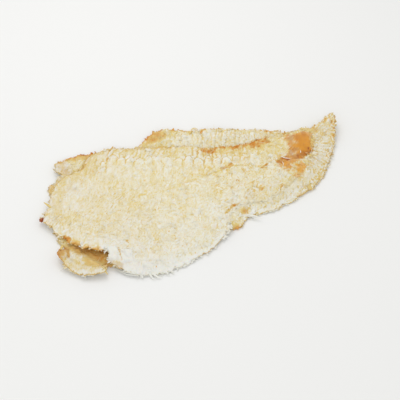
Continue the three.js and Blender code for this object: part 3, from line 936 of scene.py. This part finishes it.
def close_sheet(bm, top, under):
    """Gives a flat sheet its two heights and the wall between them; the underside is then coarsened."""
    made = bmesh.ops.extrude_face_region(bm, geom=bm.faces[:], use_keep_orig=True)
    upper_side = {item for item in made["geom"] if isinstance(item, bmesh.types.BMVert)}
    for vert in bm.verts:
        vert.co.z = vert[top] if vert in upper_side else vert[under]
    bmesh.ops.recalc_face_normals(bm, faces=bm.faces[:])
    inner = [
        vert
        for vert in bm.verts
        if vert not in upper_side and not any(edge.other_vert(vert) in upper_side for edge in vert.link_edges)
    ]
    bmesh.ops.unsubdivide(bm, verts=inner, iterations=4)
    for face in bm.faces:
        face.smooth = True


def build_sheet(name, node, settings, flesh, seed, pressed=None):
    """A fillet's flesh. Where another sheet's node lies on it, pressed is that node, and it stays smooth."""
    tree, walls = surface_of(node)
    bm, top, under = torn_grid(node, tree, walls, settings, seed)
    rim_tree = flat_tree(vert.co for vert in rim_verts(bm))
    cover = surface_of(pressed) if pressed else None
    sizes = (settings.tongue_pitch / MM, settings.tongue_depth / MM, settings.plate_depth / MM)
    tints = [bm.verts.layers.float.new(key) for key in TINTS]
    cavity = bm.verts.layers.float.new("cavity")
    rises = []
    for vert in bm.verts:
        x, y = vert.co.x, vert.co.y
        rim = rim_tree.find((x, y, 0))[2] / MM
        height, tones = flesh(x / MM, y / MM, rim, sizes)
        if cover:
            height, tones, rise = beside_cover(cover, x, y, vert[top], rim, height, tones)
            rises.append((vert, rise))
        rounded = math.sqrt(1 - (1 - clamp(rim / RIM_ROUND)) ** 2)
        middle = (vert[top] + vert[under]) / 2
        body = vert[top] - middle
        sharp = 0.4 if pressed else mix(0.35, 0.85, max(seam_at(x / MM, y / MM), block_at(x / MM, y / MM)))
        vert[top] = middle + body * mix(sharp, 1, rounded) + height * MM * smoothstep(-0.2, 1.2, rim)
        vert[under] = middle - body * mix(0.3, 1, rounded)
        for layer, tone in zip(tints, tones):
            vert[layer] = tone
        vert.co.z = vert[top]
    # What stands out of the smoothed sheet is raised, and what lies below it is a cavity; the material paints
    # shade into cavities and a highlight on raised points
    smooth_heights(bm, 5)
    ceiling = CAD_BOX[1][2] + CEILING * MM
    pale = tints[TINTS.index("pale")]
    for vert in bm.verts:
        fresh = 1 - 0.7 * smoothstep(0.5, 0.9, vert[pale])
        vert[cavity] = clamp(0.5 + fresh * (vert.co.z - vert[top]) / (FULL_CAVITY * MM))
        vert[top] = min(vert[top], ceiling)
    # The step up to the covering sheet's level stays sharp, so that no groove is left beside it
    for vert, rise in rises:
        vert[top] += rise
    RIMS[name] = rim_points(bm, top, tints)
    close_sheet(bm, top, under)
    # The later layer goes first, because taking one out renumbers the ones after it
    for layer in (under, top):
        bm.verts.layers.float.remove(layer)
    return finish_piece(bm, name)


def add_object(name, data):
    added = bpy.data.objects.new(name, data)
    bpy.context.scene.collection.objects.link(added)
    return added


def finish_piece(bm, name):
    mesh = bpy.data.meshes.new(name)
    bm.to_mesh(mesh)
    bm.free()
    return add_object(name, mesh)


# Loose flakes, fibres and hairs


def flake_shape(seed):
    """A small curved flake of flesh, closed, about 2 across, with its middle at the origin."""
    draw = random.Random(seed)
    bm = bmesh.new()
    bmesh.ops.create_circle(bm, cap_ends=True, cap_tris=True, segments=6, radius=1)
    bmesh.ops.subdivide_edges(bm, edges=bm.edges, cuts=1)
    bend = [draw.uniform(0.05, 0.4), draw.uniform(-0.2, 0.35), draw.uniform(-0.3, 0.3)]
    for vert in bm.verts:
        stretch = draw.uniform(0.72, 1.18) if vert.co.length > 0.7 else 1
        x, y = vert.co.x * stretch, vert.co.y * stretch * 0.8
        vert.co = (x, y, bend[0] * x * x + bend[1] * y * y + bend[2] * x * y + draw.uniform(-0.05, 0.05))
    bmesh.ops.solidify(bm, geom=bm.faces[:], thickness=0.16)
    return shape_of(bm)


def fibre_shape():
    """A thin, tapered fibre along +X, closed, 1 long and about 1 wide before it is scaled and bent."""
    widenings = (1.9, 1.0, 0.75, 0.3)
    bm = bmesh.new()
    turned = Matrix.Rotation(math.radians(90), 4, "Y")
    bmesh.ops.create_circle(bm, cap_ends=True, segments=3, radius=0.28, matrix=turned)
    end = next(iter(bm.faces))
    for widening in widenings:
        end = bmesh.ops.extrude_discrete_faces(bm, faces=[end])["faces"][0]
        bmesh.ops.translate(bm, verts=end.verts[:], vec=(1 / len(widenings), 0, 0))
        middle = Matrix.Translation(-end.calc_center_median())
        bmesh.ops.scale(bm, verts=end.verts[:], vec=(1, widening, widening), space=middle)
    return shape_of(bm)


def knob_shape():
    """A small round lump, about 2 across."""
    draw = random.Random(SEEDS["knob"])
    bm = bmesh.new()
    bmesh.ops.create_icosphere(bm, subdivisions=2, radius=1)
    for vert in bm.verts:
        vert.co *= draw.uniform(0.85, 1.1)
    return shape_of(bm)


def shape_of(bm):
    """The points and triangles of a small shape, as arrays."""
    bmesh.ops.recalc_face_normals(bm, faces=bm.faces[:])
    bmesh.ops.triangulate(bm, faces=bm.faces[:])
    bm.verts.ensure_lookup_table()
    points = np.array([vert.co for vert in bm.verts])
    faces = np.array([[vert.index for vert in face.verts] for face in bm.faces])
    bm.free()
    return points, faces


def joined(name, copies):
    """One piece from many small copies: each is its points in metres, its faces and its tints."""
    points, faces, tones, start = [], [], [], 0
    margin = np.array(LOOSE_MARGIN) * MM
    low, high = np.array(CAD_BOX[0]) - margin, np.array(CAD_BOX[1]) + margin
    low[2] = CAD_BOX[0][2] + FLOOR_GAP * MM
    for copy_points, copy_faces, tint in copies:
        # None goes through the floor or stands far out of the CAD's box
        copy_points += np.maximum(0, low - copy_points.min(axis=0))
        copy_points -= np.maximum(0, copy_points.max(axis=0) - high)
        points.append(copy_points)
        faces.append(copy_faces + start)
        tones.append(np.tile(tint, (len(copy_points), 1)))
        start += len(copy_points)
    points, faces, tones = np.concatenate(points), np.concatenate(faces), np.concatenate(tones)
    mesh = bpy.data.meshes.new(name)
    mesh.from_pydata(points.tolist(), [], faces.tolist())
    for index, key in enumerate(LAYERS):
        layer = mesh.attributes.new(key, "FLOAT", "POINT")
        layer.data.foreach_set("value", np.ascontiguousarray(tones[:, index], dtype=np.float32))
    return add_object(name, mesh)


def host_points(piece, count, weight, draw, margin=0.0):
    """Random points on the upper side of a sheet, a margin inside its rim: place, normal and tints."""
    mesh = piece.data
    total = len(mesh.vertices)
    places, normals = np.empty(total * 3, np.float32), np.empty(total * 3, np.float32)
    mesh.vertices.foreach_get("co", places)
    mesh.vertices.foreach_get("normal", normals)
    places, normals = places.reshape(-1, 3), normals.reshape(-1, 3)
    tones = np.empty((len(LAYERS), total), np.float32)
    for index, key in enumerate(LAYERS):
        mesh.attributes[key].data.foreach_get("value", tones[index])
    upward = np.nonzero(normals[:, 2] > 0.35)[0]
    rim = flat_tree(place for place, _, _ in RIMS[piece.name])
    found = []
    while len(found) < count:
        pick = upward[draw.randrange(len(upward))]
        x, y = places[pick, 0] / MM, places[pick, 1] / MM
        inside = rim.find((places[pick, 0], places[pick, 1], 0))[2] > margin
        if inside and draw.random() < weight(x, y):
            found.append((Vector(places[pick]), Vector(normals[pick]), tones[:, pick]))
    return found


def frame_along(normal, heading):
    """Rotation whose Z is the normal and whose X is nearest the heading."""
    side = normal.cross(heading).normalized()
    along = side.cross(normal).normalized()
    return Matrix((along, side, normal)).transposed()


def direction(angle):
    """A level direction at an angle from +X."""
    return Vector((math.cos(angle), math.sin(angle), 0))


def strayed(outward, spread, draw):
    """A level direction that strays from the one outwards."""
    return (outward + Vector((draw.gauss(0, spread), draw.gauss(0, spread), 0))).normalized()


def toned(tint, toast, browning, pale, cavity):
    """The tints of a loose piece: its host's, with new ones for toast, brown, pale and cavity."""
    return np.array([clamp(toast), clamp(browning), clamp(pale), *tint[3:6], cavity])


def placed(shape, turn, size, place):
    """A shape's points turned, scaled and moved."""
    points, faces = shape
    basis = np.array(turn @ Matrix.Diagonal(size))
    return points @ basis.T + np.array(place), faces


def flake_copies(hosts, size, draw):
    """Loose flakes that lie on the flesh, a little tipped."""
    shapes = [flake_shape(seed) for seed in LOOSE_SHAPES]
    copies = []
    for place, normal, tint in hosts:
        heading = direction(draw.uniform(0, 2 * math.pi))
        turn = frame_along(normal, heading) @ Matrix.Rotation(draw.uniform(-0.05, 0.25), 3, "Y")
        scale = size * draw.lognormvariate(-0.1, 0.38)
        wide, thick = scale * draw.uniform(0.55, 0.95), scale * draw.uniform(0.25, 0.5)
        dims = (scale * draw.uniform(0.8, 1.5), wide, thick)
        toast, pale = tint[0] + draw.uniform(-0.2, 0.1), tint[2] + draw.uniform(0, 0.3)
        tone = toned(tint, toast, tint[1], pale, FLAKE_CAVITY)
        copies.append((*placed(draw.choice(shapes), turn, dims, place + 0.1 * MM * normal), tone))
    return copies


def bent_fibre(shape, bends, length, width, turn, place):
    """A fibre with its own bends, turned and moved to its place."""
    points, faces = shape
    along = points[:, 0]
    local = np.empty_like(points)
    local[:, 0] = along * length
    local[:, 1] = points[:, 1] * width + length * (bends[0] * along**2 + bends[2] * np.sin(5 * along))
    local[:, 2] = 0.5 * points[:, 2] * width + length * bends[1] * along**2
    return local @ np.array(turn).T + np.array(place), faces


def fibre_copies(hosts, length, width, grain, draw):
    """Fibres that lie along the flesh's grain, a few of them long."""
    shape = fibre_shape()
    copies = []
    for place, normal, tint in hosts:
        angle = grain(place.x / MM, place.y / MM) + draw.gauss(0, 0.65) + draw.choice((0, math.pi))
        rise = Matrix.Rotation(-abs(draw.gauss(0.0, 0.16)), 3, "Y")
        turn = frame_along(normal, direction(angle)) @ rise
        bends = (draw.gauss(0, 0.16), draw.uniform(-0.12, 0.14), draw.gauss(0, 0.03))
        long = draw.random() < 0.12
        own = length * (draw.uniform(1.6, 2.6) if long else draw.lognormvariate(-0.15, 0.4))
        wide = width * (1.5 if long else draw.uniform(0.55, 1.25))
        toast = 0.6 * tint[0] + draw.uniform(-0.2, 0.3)
        pale = tint[2] + draw.uniform(-0.2, 0.2) + 0.3 * long
        tone = toned(tint, toast, 0.7 * tint[1], pale, FIBRE_CAVITY)
        copies.append((*bent_fibre(shape, bends, own, wide, turn, place + 0.05 * MM * normal), tone))
    return copies


def grain_of_upper(x, y):
    """Which way most fibres run on the upper fillet."""
    back = smoothstep(-3, 9, y - backbone_at(x)) * (1 - smoothstep(28, 62, x))
    return mix(math.radians(-20), math.radians(62), back)


def grain_of_lower(x, y):
    """Which way most fibres run on the lower fillet."""
    return mix(math.radians(60), math.radians(26), smoothstep(40, 80, x))


def flakes_on_upper(x, y):
    """How likely a loose flake is at a point of the upper fillet, 0 to 1."""
    bare = max(0.0, smoothstep(-3, 1, inside_depth(x, y, SKIN_PATCH)))
    near = smoothstep(30, -30, y) * 0.4
    return (0.35 + near + 0.25 * smoothstep(0, 50, x)) * (1 - bare)


def fibres_on_upper(x, y):
    """Fibres lie where flakes do, and a few on the bare skin."""
    return 0.9 * flakes_on_upper(x, y) + 0.1


def flakes_on_lower(x, y):
    """Flakes and fibres lie only where the lower fillet shows."""
    hidden = inside_depth(x, y, UPPER_COVER)
    return 0.9 * smoothstep(0.5, -1.5, hidden)


def rim_shows(side, x, y):
    """Whether a rim point isn't hidden by the upper fillet, or part of the smooth curled end."""
    return side == "upper" or (inside_depth(x, y, UPPER_COVER) < 1 and along_line(x, y, CUP) > 6.5)


def hair_share(side, x, y):
    """How likely a hair is at a rim point: most are on the white torn front."""
    front = smoothstep(-36, -48, y) * smoothstep(0, -15, x) * smoothstep(-0.3, 0.4, bumps(x, y, 7, 107))
    return front if side == "upper" else 0.02


def rim_flake_copies(rims, size, draw):
    """Flakes along the torn rims; they stand further out where no other fillet lies beyond."""
    shapes = [flake_shape(seed) for seed in RIM_SHAPES]
    copies = []
    for place, outward, tint in rims:
        turn = frame_along(UP, strayed(outward, 0.5, draw)) @ Matrix.Rotation(draw.gauss(-0.1, 0.4), 3, "Y")
        turn = turn @ Matrix.Rotation(draw.gauss(0, 0.4), 3, "X")
        scale = size * draw.lognormvariate(-0.25, 0.35)
        dims = [scale * draw.uniform(*span) for span in ((0.7, 1.3), (0.45, 0.9), (0.6, 1.2))]
        toast, browning = tint[0] + draw.uniform(-0.3, 0.3), tint[1] * draw.uniform(0.4, 1.5)
        tone = toned(tint, toast, browning, tint[2] + draw.uniform(-0.2, 0.4), FLAKE_CAVITY)
        tone[3:5] *= (0.2, 0.3)
        over = smoothstep(-60, -50, place.x / MM) * smoothstep(-5, 5, place.y / MM)
        middle = place - 0.35 * MM * UP + mix(0.5, 0.1, over) * scale * outward
        copies.append((*placed(draw.choice(shapes), turn, dims, middle), tone))
    return copies


def seam_flake_copies(rims, size, draw):
    """Flakes that lie across the seam, longer along the flesh than across it."""
    shapes = [flake_shape(seed) for seed in SEAM_SHAPES]
    copies = []
    for place, outward, tint in rims:
        heading = direction(math.radians(63 if draw.random() < 0.6 else -10) + draw.gauss(0, 0.35))
        turn = frame_along(UP, heading) @ Matrix.Rotation(draw.gauss(0, 0.12), 3, "Y")
        scale = 1.25 * size * draw.lognormvariate(-0.1, 0.3)
        dims = [scale * draw.uniform(*span) for span in ((0.9, 1.7), (0.5, 0.9), (0.5, 0.9))]
        toast, pale = tint[0] + draw.uniform(-0.3, 0.2), tint[2] + draw.uniform(-0.1, 0.3)
        tone = toned(tint, toast, 0.5 * tint[1], pale, FIBRE_CAVITY)
        raised = draw.uniform(-0.15, 0.2) * MM * UP
        middle = place + outward * draw.uniform(-0.9, 1.6) * MM + raised
        copies.append((*placed(draw.choice(shapes), turn, dims, middle), tone))
    return copies


def laid_strand(shape, line, width):
    """A fibre laid along a line of points."""
    points, faces = shape
    line = np.array(line) * MM
    steps = np.linspace(0, 1, len(line))
    middle, along = (
        np.stack([np.interp(points[:, 0], steps, values[:, axis]) for axis in range(3)], axis=1)
        for values in (line, np.gradient(line, axis=0))
    )
    side = np.cross(along, UP)
    side /= np.linalg.norm(side, axis=1, keepdims=True)
    over = np.cross(side, along)
    over /= np.linalg.norm(over, axis=1, keepdims=True)
    return middle + width * MM * (points[:, 1:2] * side + 0.6 * points[:, 2:3] * over), faces


def rim_hair_copies(rims, length, width, draw):
    """Fine white hairs that stand out of the torn rims."""
    shape = fibre_shape()
    copies = []
    for place, outward, tint in rims:
        turn = frame_along(UP, strayed(outward, 0.7, draw)) @ Matrix.Rotation(draw.uniform(-0.2, 0.3), 3, "Y")
        bends = (draw.gauss(0, 0.25), draw.uniform(-0.25, 0.1), draw.gauss(0, 0.05))
        own, wide = length * draw.lognormvariate(-0.35, 0.4), width * draw.uniform(0.7, 1.6)
        tone = np.array([0.1, 0.2 * tint[1], draw.uniform(0.6, 1), 0, 0, 0, 0.4])
        root = place - 0.5 * MM * UP - 0.3 * MM * outward
        copies.append((*bent_fibre(shape, bends, own, wide, turn, root), tone))
    return copies


# Materials

# The inputs of the roasted tone group that the attributes feed, in the order of LAYERS
TINT_SOCKETS = ("Toast", "Browning", "Pale", "Skin", "Scorch_and_shade", "Gloss", "Cavity")


def add_socket(group, name, kind, out=False):
    return group.interface.new_socket(
        name=name, in_out="OUTPUT" if out else "INPUT", socket_type=f"NodeSocket{kind}"
    )


def link(tree, source, target):
    tree.links.new(source, target)


def node_of(tree, kind, **values):
    node = tree.nodes.new(kind)
    for key, value in values.items():
        setattr(node, key, value)
    return node


def mixed(tree, factor, a, b):
    """A colour mix whose inputs are sockets or colours."""
    node = node_of(tree, "ShaderNodeMix", data_type="RGBA")
    for index, value in ((0, factor), (6, a), (7, b)):
        if isinstance(value, bpy.types.NodeSocket):
            link(tree, value, node.inputs[index])
        elif index:
            node.inputs[index].default_value = (*value, 1)
        else:
            node.inputs[index].default_value = value
    return node.outputs[2]


def maths(tree, operation, a, b=0.0, clamped=False):
    node = node_of(tree, "ShaderNodeMath", operation=operation, use_clamp=clamped)
    for index, value in enumerate((a, b)):
        if isinstance(value, bpy.types.NodeSocket):
            link(tree, value, node.inputs[index])
        else:
            node.inputs[index].default_value = value
    return node.outputs[0]


def noise_texture(tree, vector, scale, detail, roughness=0.5):
    node = node_of(tree, "ShaderNodeTexNoise")
    for key, value in (("Scale", scale), ("Detail", detail), ("Roughness", roughness)):
        node.inputs[key].default_value = value
    link(tree, vector, node.inputs["Vector"])
    return node.outputs["Fac"]


def fibre_grain_group():
    """Fine grain that every dried surface shares: streaks one way and a fluffy speckle."""
    group = bpy.data.node_groups.new("fibre grain", "ShaderNodeTree")
    add_socket(group, "Turn", "Vector")
    add_socket(group, "Height", "Float", out=True)
    add_socket(group, "Speckle", "Float", out=True)
    source = node_of(group, "NodeGroupInput")
    target = node_of(group, "NodeGroupOutput")
    place = node_of(group, "ShaderNodeTexCoord").outputs["Object"]
    mapping = node_of(group, "ShaderNodeMapping")
    mapping.inputs["Scale"].default_value = (2600, 620, 1500)
    link(group, place, mapping.inputs["Vector"])
    link(group, source.outputs["Turn"], mapping.inputs["Rotation"])
    streaks = noise_texture(group, mapping.outputs["Vector"], 1, 3)
    fluff = noise_texture(group, place, 2100, 2)
    speckle = noise_texture(group, place, 700, 4, 0.7)
    height = maths(group, "ADD", streaks, maths(group, "MULTIPLY", fluff, 0.6))
    link(group, height, target.inputs["Height"])
    link(group, speckle, target.inputs["Speckle"])
    return group


def roasted_tone_group():
    """Colour, roughness and gloss of roasted flesh from its toasting, browning, tearing and scorching, with
    painted shade in its hollows and a painted highlight on what stands up.
    """
    group = bpy.data.node_groups.new("roasted tone", "ShaderNodeTree")
    for name in ("Cream", "Gold", "White", "Brown", "Amber", "Scorched_and_shaded"):
        add_socket(group, name, "Color")
    for name in (*TINT_SOCKETS, "Speckle"):
        add_socket(group, name, "Float")
    add_socket(group, "Tone", "Color", out=True)
    add_socket(group, "Roughness", "Float", out=True)
    add_socket(group, "Coat", "Float", out=True)
    source = node_of(group, "NodeGroupInput").outputs
    target = node_of(group, "NodeGroupOutput").inputs
    names = ("ADD", "SUBTRACT", "MULTIPLY", "MAXIMUM")
    plus, minus, times, larger = (partial(maths, group, name) for name in names)
    speck = times(minus(source["Speckle"], 0.5), 0.65)
    # Sunk points turn more golden: painted shade in the hollows, which are also more toasted
    sunk = times(minus(source["Cavity"], 0.5), 1.2)
    # Flesh turns golden before it turns brown
    gilt = times(larger(source["Browning"], source["Skin"]), 1.8)
    toast = plus(plus(source["Toast"], speck), plus(sunk, gilt), clamped=True)
    tone = mixed(group, toast, source["Cream"], source["Gold"])
    # Torn flesh is white on what stands up, partly as a painted highlight, and stays golden in the hollows
    # beside it, partly as painted shade
    raised = times(minus(0.42, source["Cavity"]), 1.6)
    open_air = times(minus(0.8, source["Cavity"]), 3.2, clamped=True)
    pale = plus(larger(raised, 0.0), times(source["Pale"], open_air))
    tone = mixed(group, minus(pale, source["Browning"], clamped=True), tone, source["White"])
    # Deep hollows turn brown as painted shade
    deep = times(minus(source["Cavity"], 0.72), 1.5)
    browned = maths(group, "POWER", source["Browning"], 1.4)
    brown = plus(larger(deep, 0.0), browned, clamped=True)
    tone = mixed(group, brown, tone, source["Brown"])
    tone = mixed(group, source["Skin"], tone, source["Amber"])
    # The scorched colour darkens scorched spots and also paints shade
    tone = mixed(group, source["Scorch_and_shade"], tone, source["Scorched_and_shaded"])
    link(group, tone, target["Tone"])
    link(group, minus(0.78, times(source["Gloss"], 0.5)), target["Roughness"])
    link(group, times(source["Gloss"], 0.6), target["Coat"])
    return group


def shared_group(name, build):
    """The node group of that name, which is built when it is first needed."""
    return bpy.data.node_groups.get(name) or build()


def flesh_material(name, settings, turn, glow):
    """Dried roasted flesh, whose tints come from the piece's own attributes; glow is the light inside it."""
    material = bpy.data.materials.new(name)
    material.use_nodes = True
    tree = material.node_tree
    shader = tree.nodes["Principled BSDF"]
    shader.inputs["Subsurface Weight"].default_value = glow
    shader.inputs["Subsurface Radius"].default_value = (1.0, 0.8, 0.5)
    shader.inputs["Subsurface Scale"].default_value = 1.6 * MM
    shader.inputs["Specular IOR Level"].default_value = 0.32
    shader.inputs["Coat Roughness"].default_value = 0.14
    grain = node_of(tree, "ShaderNodeGroup", node_tree=shared_group("fibre grain", fibre_grain_group))
    grain.inputs["Turn"].default_value = (0, 0, turn)
    tone = node_of(tree, "ShaderNodeGroup", node_tree=shared_group("roasted tone", roasted_tone_group))
    for key in ("cream", "gold", "white", "brown", "amber", "scorched_and_shaded"):
        tone.inputs[key.capitalize()].default_value = (*getattr(settings, key), 1)
    for attribute, socket in zip(LAYERS, TINT_SOCKETS):
        reader = node_of(tree, "ShaderNodeAttribute", attribute_name=attribute)
        link(tree, reader.outputs["Fac"], tone.inputs[socket])
    link(tree, grain.outputs["Speckle"], tone.inputs["Speckle"])
    link(tree, tone.outputs["Tone"], shader.inputs["Base Color"])
    link(tree, tone.outputs["Roughness"], shader.inputs["Roughness"])
    link(tree, tone.outputs["Coat"], shader.inputs["Coat Weight"])
    bump = node_of(tree, "ShaderNodeBump")
    bump.inputs["Strength"].default_value = 0.3
    bump.inputs["Distance"].default_value = 0.12 * MM
    link(tree, grain.outputs["Height"], bump.inputs["Height"])
    link(tree, bump.outputs["Normal"], shader.inputs["Normal"])
    return material


# Operators


def flesh_piece(side, flesh, pressed=None):
    """One fillet's sheet with its material; the plainer material of the loose pieces on it is made too."""
    settings = bpy.context.scene.fish_flesh
    piece = build_sheet(f"{side}_flesh", f"{side}_fillet", settings, flesh, SEEDS[side], pressed)
    turn = math.radians(GRAIN_TURNS[side])
    piece.data.materials.append(flesh_material(f"{side} dried flesh", settings, turn, 0.3))
    flesh_material(f"{side} loose flesh", settings, turn, 0)
    return piece


class AddLowerFlesh(bpy.types.Operator):
    """Lays the lower fillet's flesh on its CAD solid"""

    bl_idname = "fish_slice.lower_flesh"
    bl_label = "Lower Flesh"

    def execute(self, context):
        piece = flesh_piece("lower", flesh_of_lower, "upper_fillet")
        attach(piece, BODY)
        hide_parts("lower_fillet")
        return {"FINISHED"}


class AddUpperFlesh(bpy.types.Operator):
    """Lays the upper fillet's flesh on its CAD solid"""

    bl_idname = "fish_slice.upper_flesh"
    bl_label = "Upper Flesh"

    def execute(self, context):
        piece = flesh_piece("upper", flesh_of_upper)
        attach(piece, BODY)
        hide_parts("upper_fillet")
        return {"FINISHED"}


def from_above(rim):
    """A rim point's x and y in millimetres."""
    return rim[0].x / MM, rim[0].y / MM


def loose_piece(side, kind, copies):
    """Joins the loose copies on one fillet into a piece."""
    piece = joined(f"{side}_{kind}", copies)
    piece.data.materials.append(bpy.data.materials[f"{side} loose flesh"])
    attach(piece, BODY)


class AddFlakes(bpy.types.Operator):
    """Scatters loose flakes over both fillets"""

    bl_idname = "fish_slice.flakes"
    bl_label = "Loose Flakes"

    def execute(self, context):
        loose = context.scene.fish_loose
        draw = random.Random(SEEDS["flakes"])
        for side, count, weight in (
            ("upper", loose.upper_flakes, flakes_on_upper),
            ("lower", loose.lower_flakes, flakes_on_lower),
        ):
            hosts = host_points(bpy.data.objects[f"{side}_flesh"], count, weight, draw)
            loose_piece(side, "flakes", flake_copies(hosts, loose.flake_size, draw))
        return {"FINISHED"}


class AddFibres(bpy.types.Operator):
    """Scatters fibres over both fillets"""

    bl_idname = "fish_slice.fibres"
    bl_label = "Fibres"

    def execute(self, context):
        loose = context.scene.fish_loose
        draw = random.Random(SEEDS["fibres"])
        for side, count, weight, grain in (
            ("upper", loose.upper_fibres, fibres_on_upper, grain_of_upper),
            ("lower", loose.lower_fibres, flakes_on_lower, grain_of_lower),
        ):
            length, width = loose.fibre_length, loose.fibre_width
            hosts = host_points(bpy.data.objects[f"{side}_flesh"], count, weight, draw, 0.8 * length)
            loose_piece(side, "fibres", fibre_copies(hosts, length, width, grain, draw))
        return {"FINISHED"}


class AddTornRims(bpy.types.Operator):
    """Sets flakes and fine hairs along the torn rims"""

    bl_idname = "fish_slice.torn_rims"
    bl_label = "Torn Rims"

    def execute(self, context):
        loose = context.scene.fish_loose
        draw = random.Random(SEEDS["rims"])
        for side in ("upper", "lower"):
            rims = [rim for rim in RIMS[f"{side}_flesh"] if rim_shows(side, *from_above(rim))]
            picked = [draw.choice(rims) for _ in range(loose.rim_flakes // 2)]
            loose_piece(side, "rim_flakes", rim_flake_copies(picked, loose.flake_size, draw))
            picked = [draw.choice(rims) for _ in range(loose.rim_hairs // 2)]
            picked = [rim for rim in picked if draw.random() < hair_share(side, *from_above(rim))]
            hairs = rim_hair_copies(picked, loose.fibre_length, loose.fibre_width, draw)
            loose_piece(side, "rim_hairs", hairs)
        return {"FINISHED"}


class AddSeamFlakes(bpy.types.Operator):
    """Covers the seam between the fillets with flakes where they lie level"""

    bl_idname = "fish_slice.seam_flakes"
    bl_label = "Seam Flakes"

    def execute(self, context):
        loose = context.scene.fish_loose
        draw = random.Random(SEEDS["seam"])
        rims = [rim for rim in RIMS["upper_flesh"] if seam_at(*from_above(rim)) > 0.5]
        picked = [draw.choice(rims) for _ in range(loose.seam_flakes)]
        loose_piece("upper", "seam_flakes", seam_flake_copies(picked, loose.flake_size, draw))
        return {"FINISHED"}


def crumb_copies(side):
    """The curled crumbs of one fillet."""
    copies = []
    for index, (crumb_side, tone, size, place) in enumerate(CRUMBS):
        if crumb_side == side:
            turn = Matrix.Rotation(2.4 * index, 3, "Z") @ Matrix.Rotation(0.6, 3, "X")
            dims = (size * MM, 0.8 * size * MM, size * MM)
            crumb = placed(flake_shape(CRUMB_SHAPE + index), turn, dims, Vector(place) * MM)
            copies.append((*crumb, np.array(STRAND_TONES[tone])))
    return copies


class AddStrands(bpy.types.Operator):
    """Lays the single strands, spikes and teeth, and the burnt knob"""

    bl_idname = "fish_slice.strands"
    bl_label = "Strands"

    def execute(self, context):
        shape = fibre_shape()
        for side in ("upper", "lower"):
            copies = [
                (*laid_strand(shape, line, width), np.array(STRAND_TONES[tone]))
                for tone, width, line in STRANDS[side]
            ]
            copies += crumb_copies(side)
            if side == "upper":
                size = (1.6 * MM, 1.5 * MM, 1.3 * MM)
                burnt = np.array([1, 1, 0, 0, 0.9, 0.3, 0.5])
                copies.append((*placed(knob_shape(), Matrix.Identity(3), size, Vector(KNOB) * MM), burnt))
            loose_piece(side, "strands", copies)
        return {"FINISHED"}


class AddStage(bpy.types.Operator):
    """Adds the plain floor, the soft lights and the camera"""

    bl_idname = "fish_slice.stage"
    bl_label = "Stage"

    def execute(self, context):
        settings = context.scene.fish_stage
        add_floor(settings)
        add_light("key", *KEY_LIGHT, settings.key_power)
        add_light("fill", *FILL_LIGHT, settings.fill_power)
        world = bpy.data.worlds.new("studio")
        world.use_nodes = True
        world.node_tree.nodes["Background"].inputs["Color"].default_value = (1, 1, 1, 1)
        world.node_tree.nodes["Background"].inputs["Strength"].default_value = settings.sky
        context.scene.world = world
        context.scene.view_settings.view_transform = "Standard"
        add_camera()
        return {"FINISHED"}


def add_floor(settings):
    bm = bmesh.new()
    bmesh.ops.create_grid(bm, x_segments=1, y_segments=1, size=4)
    floor = finish_piece(bm, "floor")
    material = bpy.data.materials.new("plain floor")
    material.use_nodes = True
    shader = material.node_tree.nodes["Principled BSDF"]
    shader.inputs["Base Color"].default_value = (*settings.floor_colour, 1)
    shader.inputs["Roughness"].default_value = 0.9
    floor.data.materials.append(material)


def add_light(name, place, size, power):
    """A square soft light that looks at the slice."""
    data = bpy.data.lights.new(name, "AREA")
    data.size = size
    data.energy = power
    light = add_object(name, data)
    light.location = place
    light.rotation_euler = (-Vector(place)).to_track_quat("-Z", "Y").to_euler()


def add_camera():
    data = bpy.data.cameras.new("camera")
    data.sensor_width = 36
    data.lens = data.sensor_width * FOCAL_LENGTH / FRAME_WIDTH
    data.clip_start = 0.01
    camera = add_object("camera", data)
    level = math.cos(CAMERA_ELEVATION)
    away = Vector(
        (math.sin(CAMERA_AZIMUTH) * level, -math.cos(CAMERA_AZIMUTH) * level, math.sin(CAMERA_ELEVATION))
    )
    camera.location = (Vector(CAMERA_AIM) + away * CAMERA_DISTANCE) * MM
    camera.rotation_euler = (-away).to_track_quat("-Z", "Y").to_euler()
    bpy.context.scene.camera = camera


OPERATORS = (
    AddLowerFlesh, AddUpperFlesh, AddFlakes, AddFibres, AddTornRims, AddSeamFlakes, AddStrands, AddStage,
)


class FishSlicePanel(bpy.types.Panel):
    """Sizes, colours and the steps that build the slice"""

    bl_idname = "VIEW3D_PT_fish_slice"
    bl_label = "Fish Slice"
    bl_space_type = "VIEW_3D"
    bl_region_type = "UI"
    bl_category = "Fish Slice"

    def draw(self, context):
        for settings in (context.scene.fish_flesh, context.scene.fish_loose, context.scene.fish_stage):
            for key in settings.__annotations__:
                self.layout.prop(settings, key)
        for operator in OPERATORS:
            self.layout.operator(operator.bl_idname)


CLASSES = (FleshSettings, LooseSettings, StageSettings, *OPERATORS, FishSlicePanel)


def register():
    for item in CLASSES:
        bpy.utils.register_class(item)
    bpy.types.Scene.fish_flesh = PointerProperty(type=FleshSettings)
    bpy.types.Scene.fish_loose = PointerProperty(type=LooseSettings)
    bpy.types.Scene.fish_stage = PointerProperty(type=StageSettings)


def unregister():
    del bpy.types.Scene.fish_stage
    del bpy.types.Scene.fish_loose
    del bpy.types.Scene.fish_flesh
    for item in reversed(CLASSES):
        bpy.utils.unregister_class(item)


def main():
    register()
    bpy.ops.fish_slice.stage()
    bpy.ops.fish_slice.lower_flesh()
    bpy.ops.fish_slice.upper_flesh()
    bpy.ops.fish_slice.flakes()
    bpy.ops.fish_slice.fibres()
    bpy.ops.fish_slice.torn_rims()
    bpy.ops.fish_slice.seam_flakes()
    bpy.ops.fish_slice.strands()


if __name__ == "__main__":
    main()
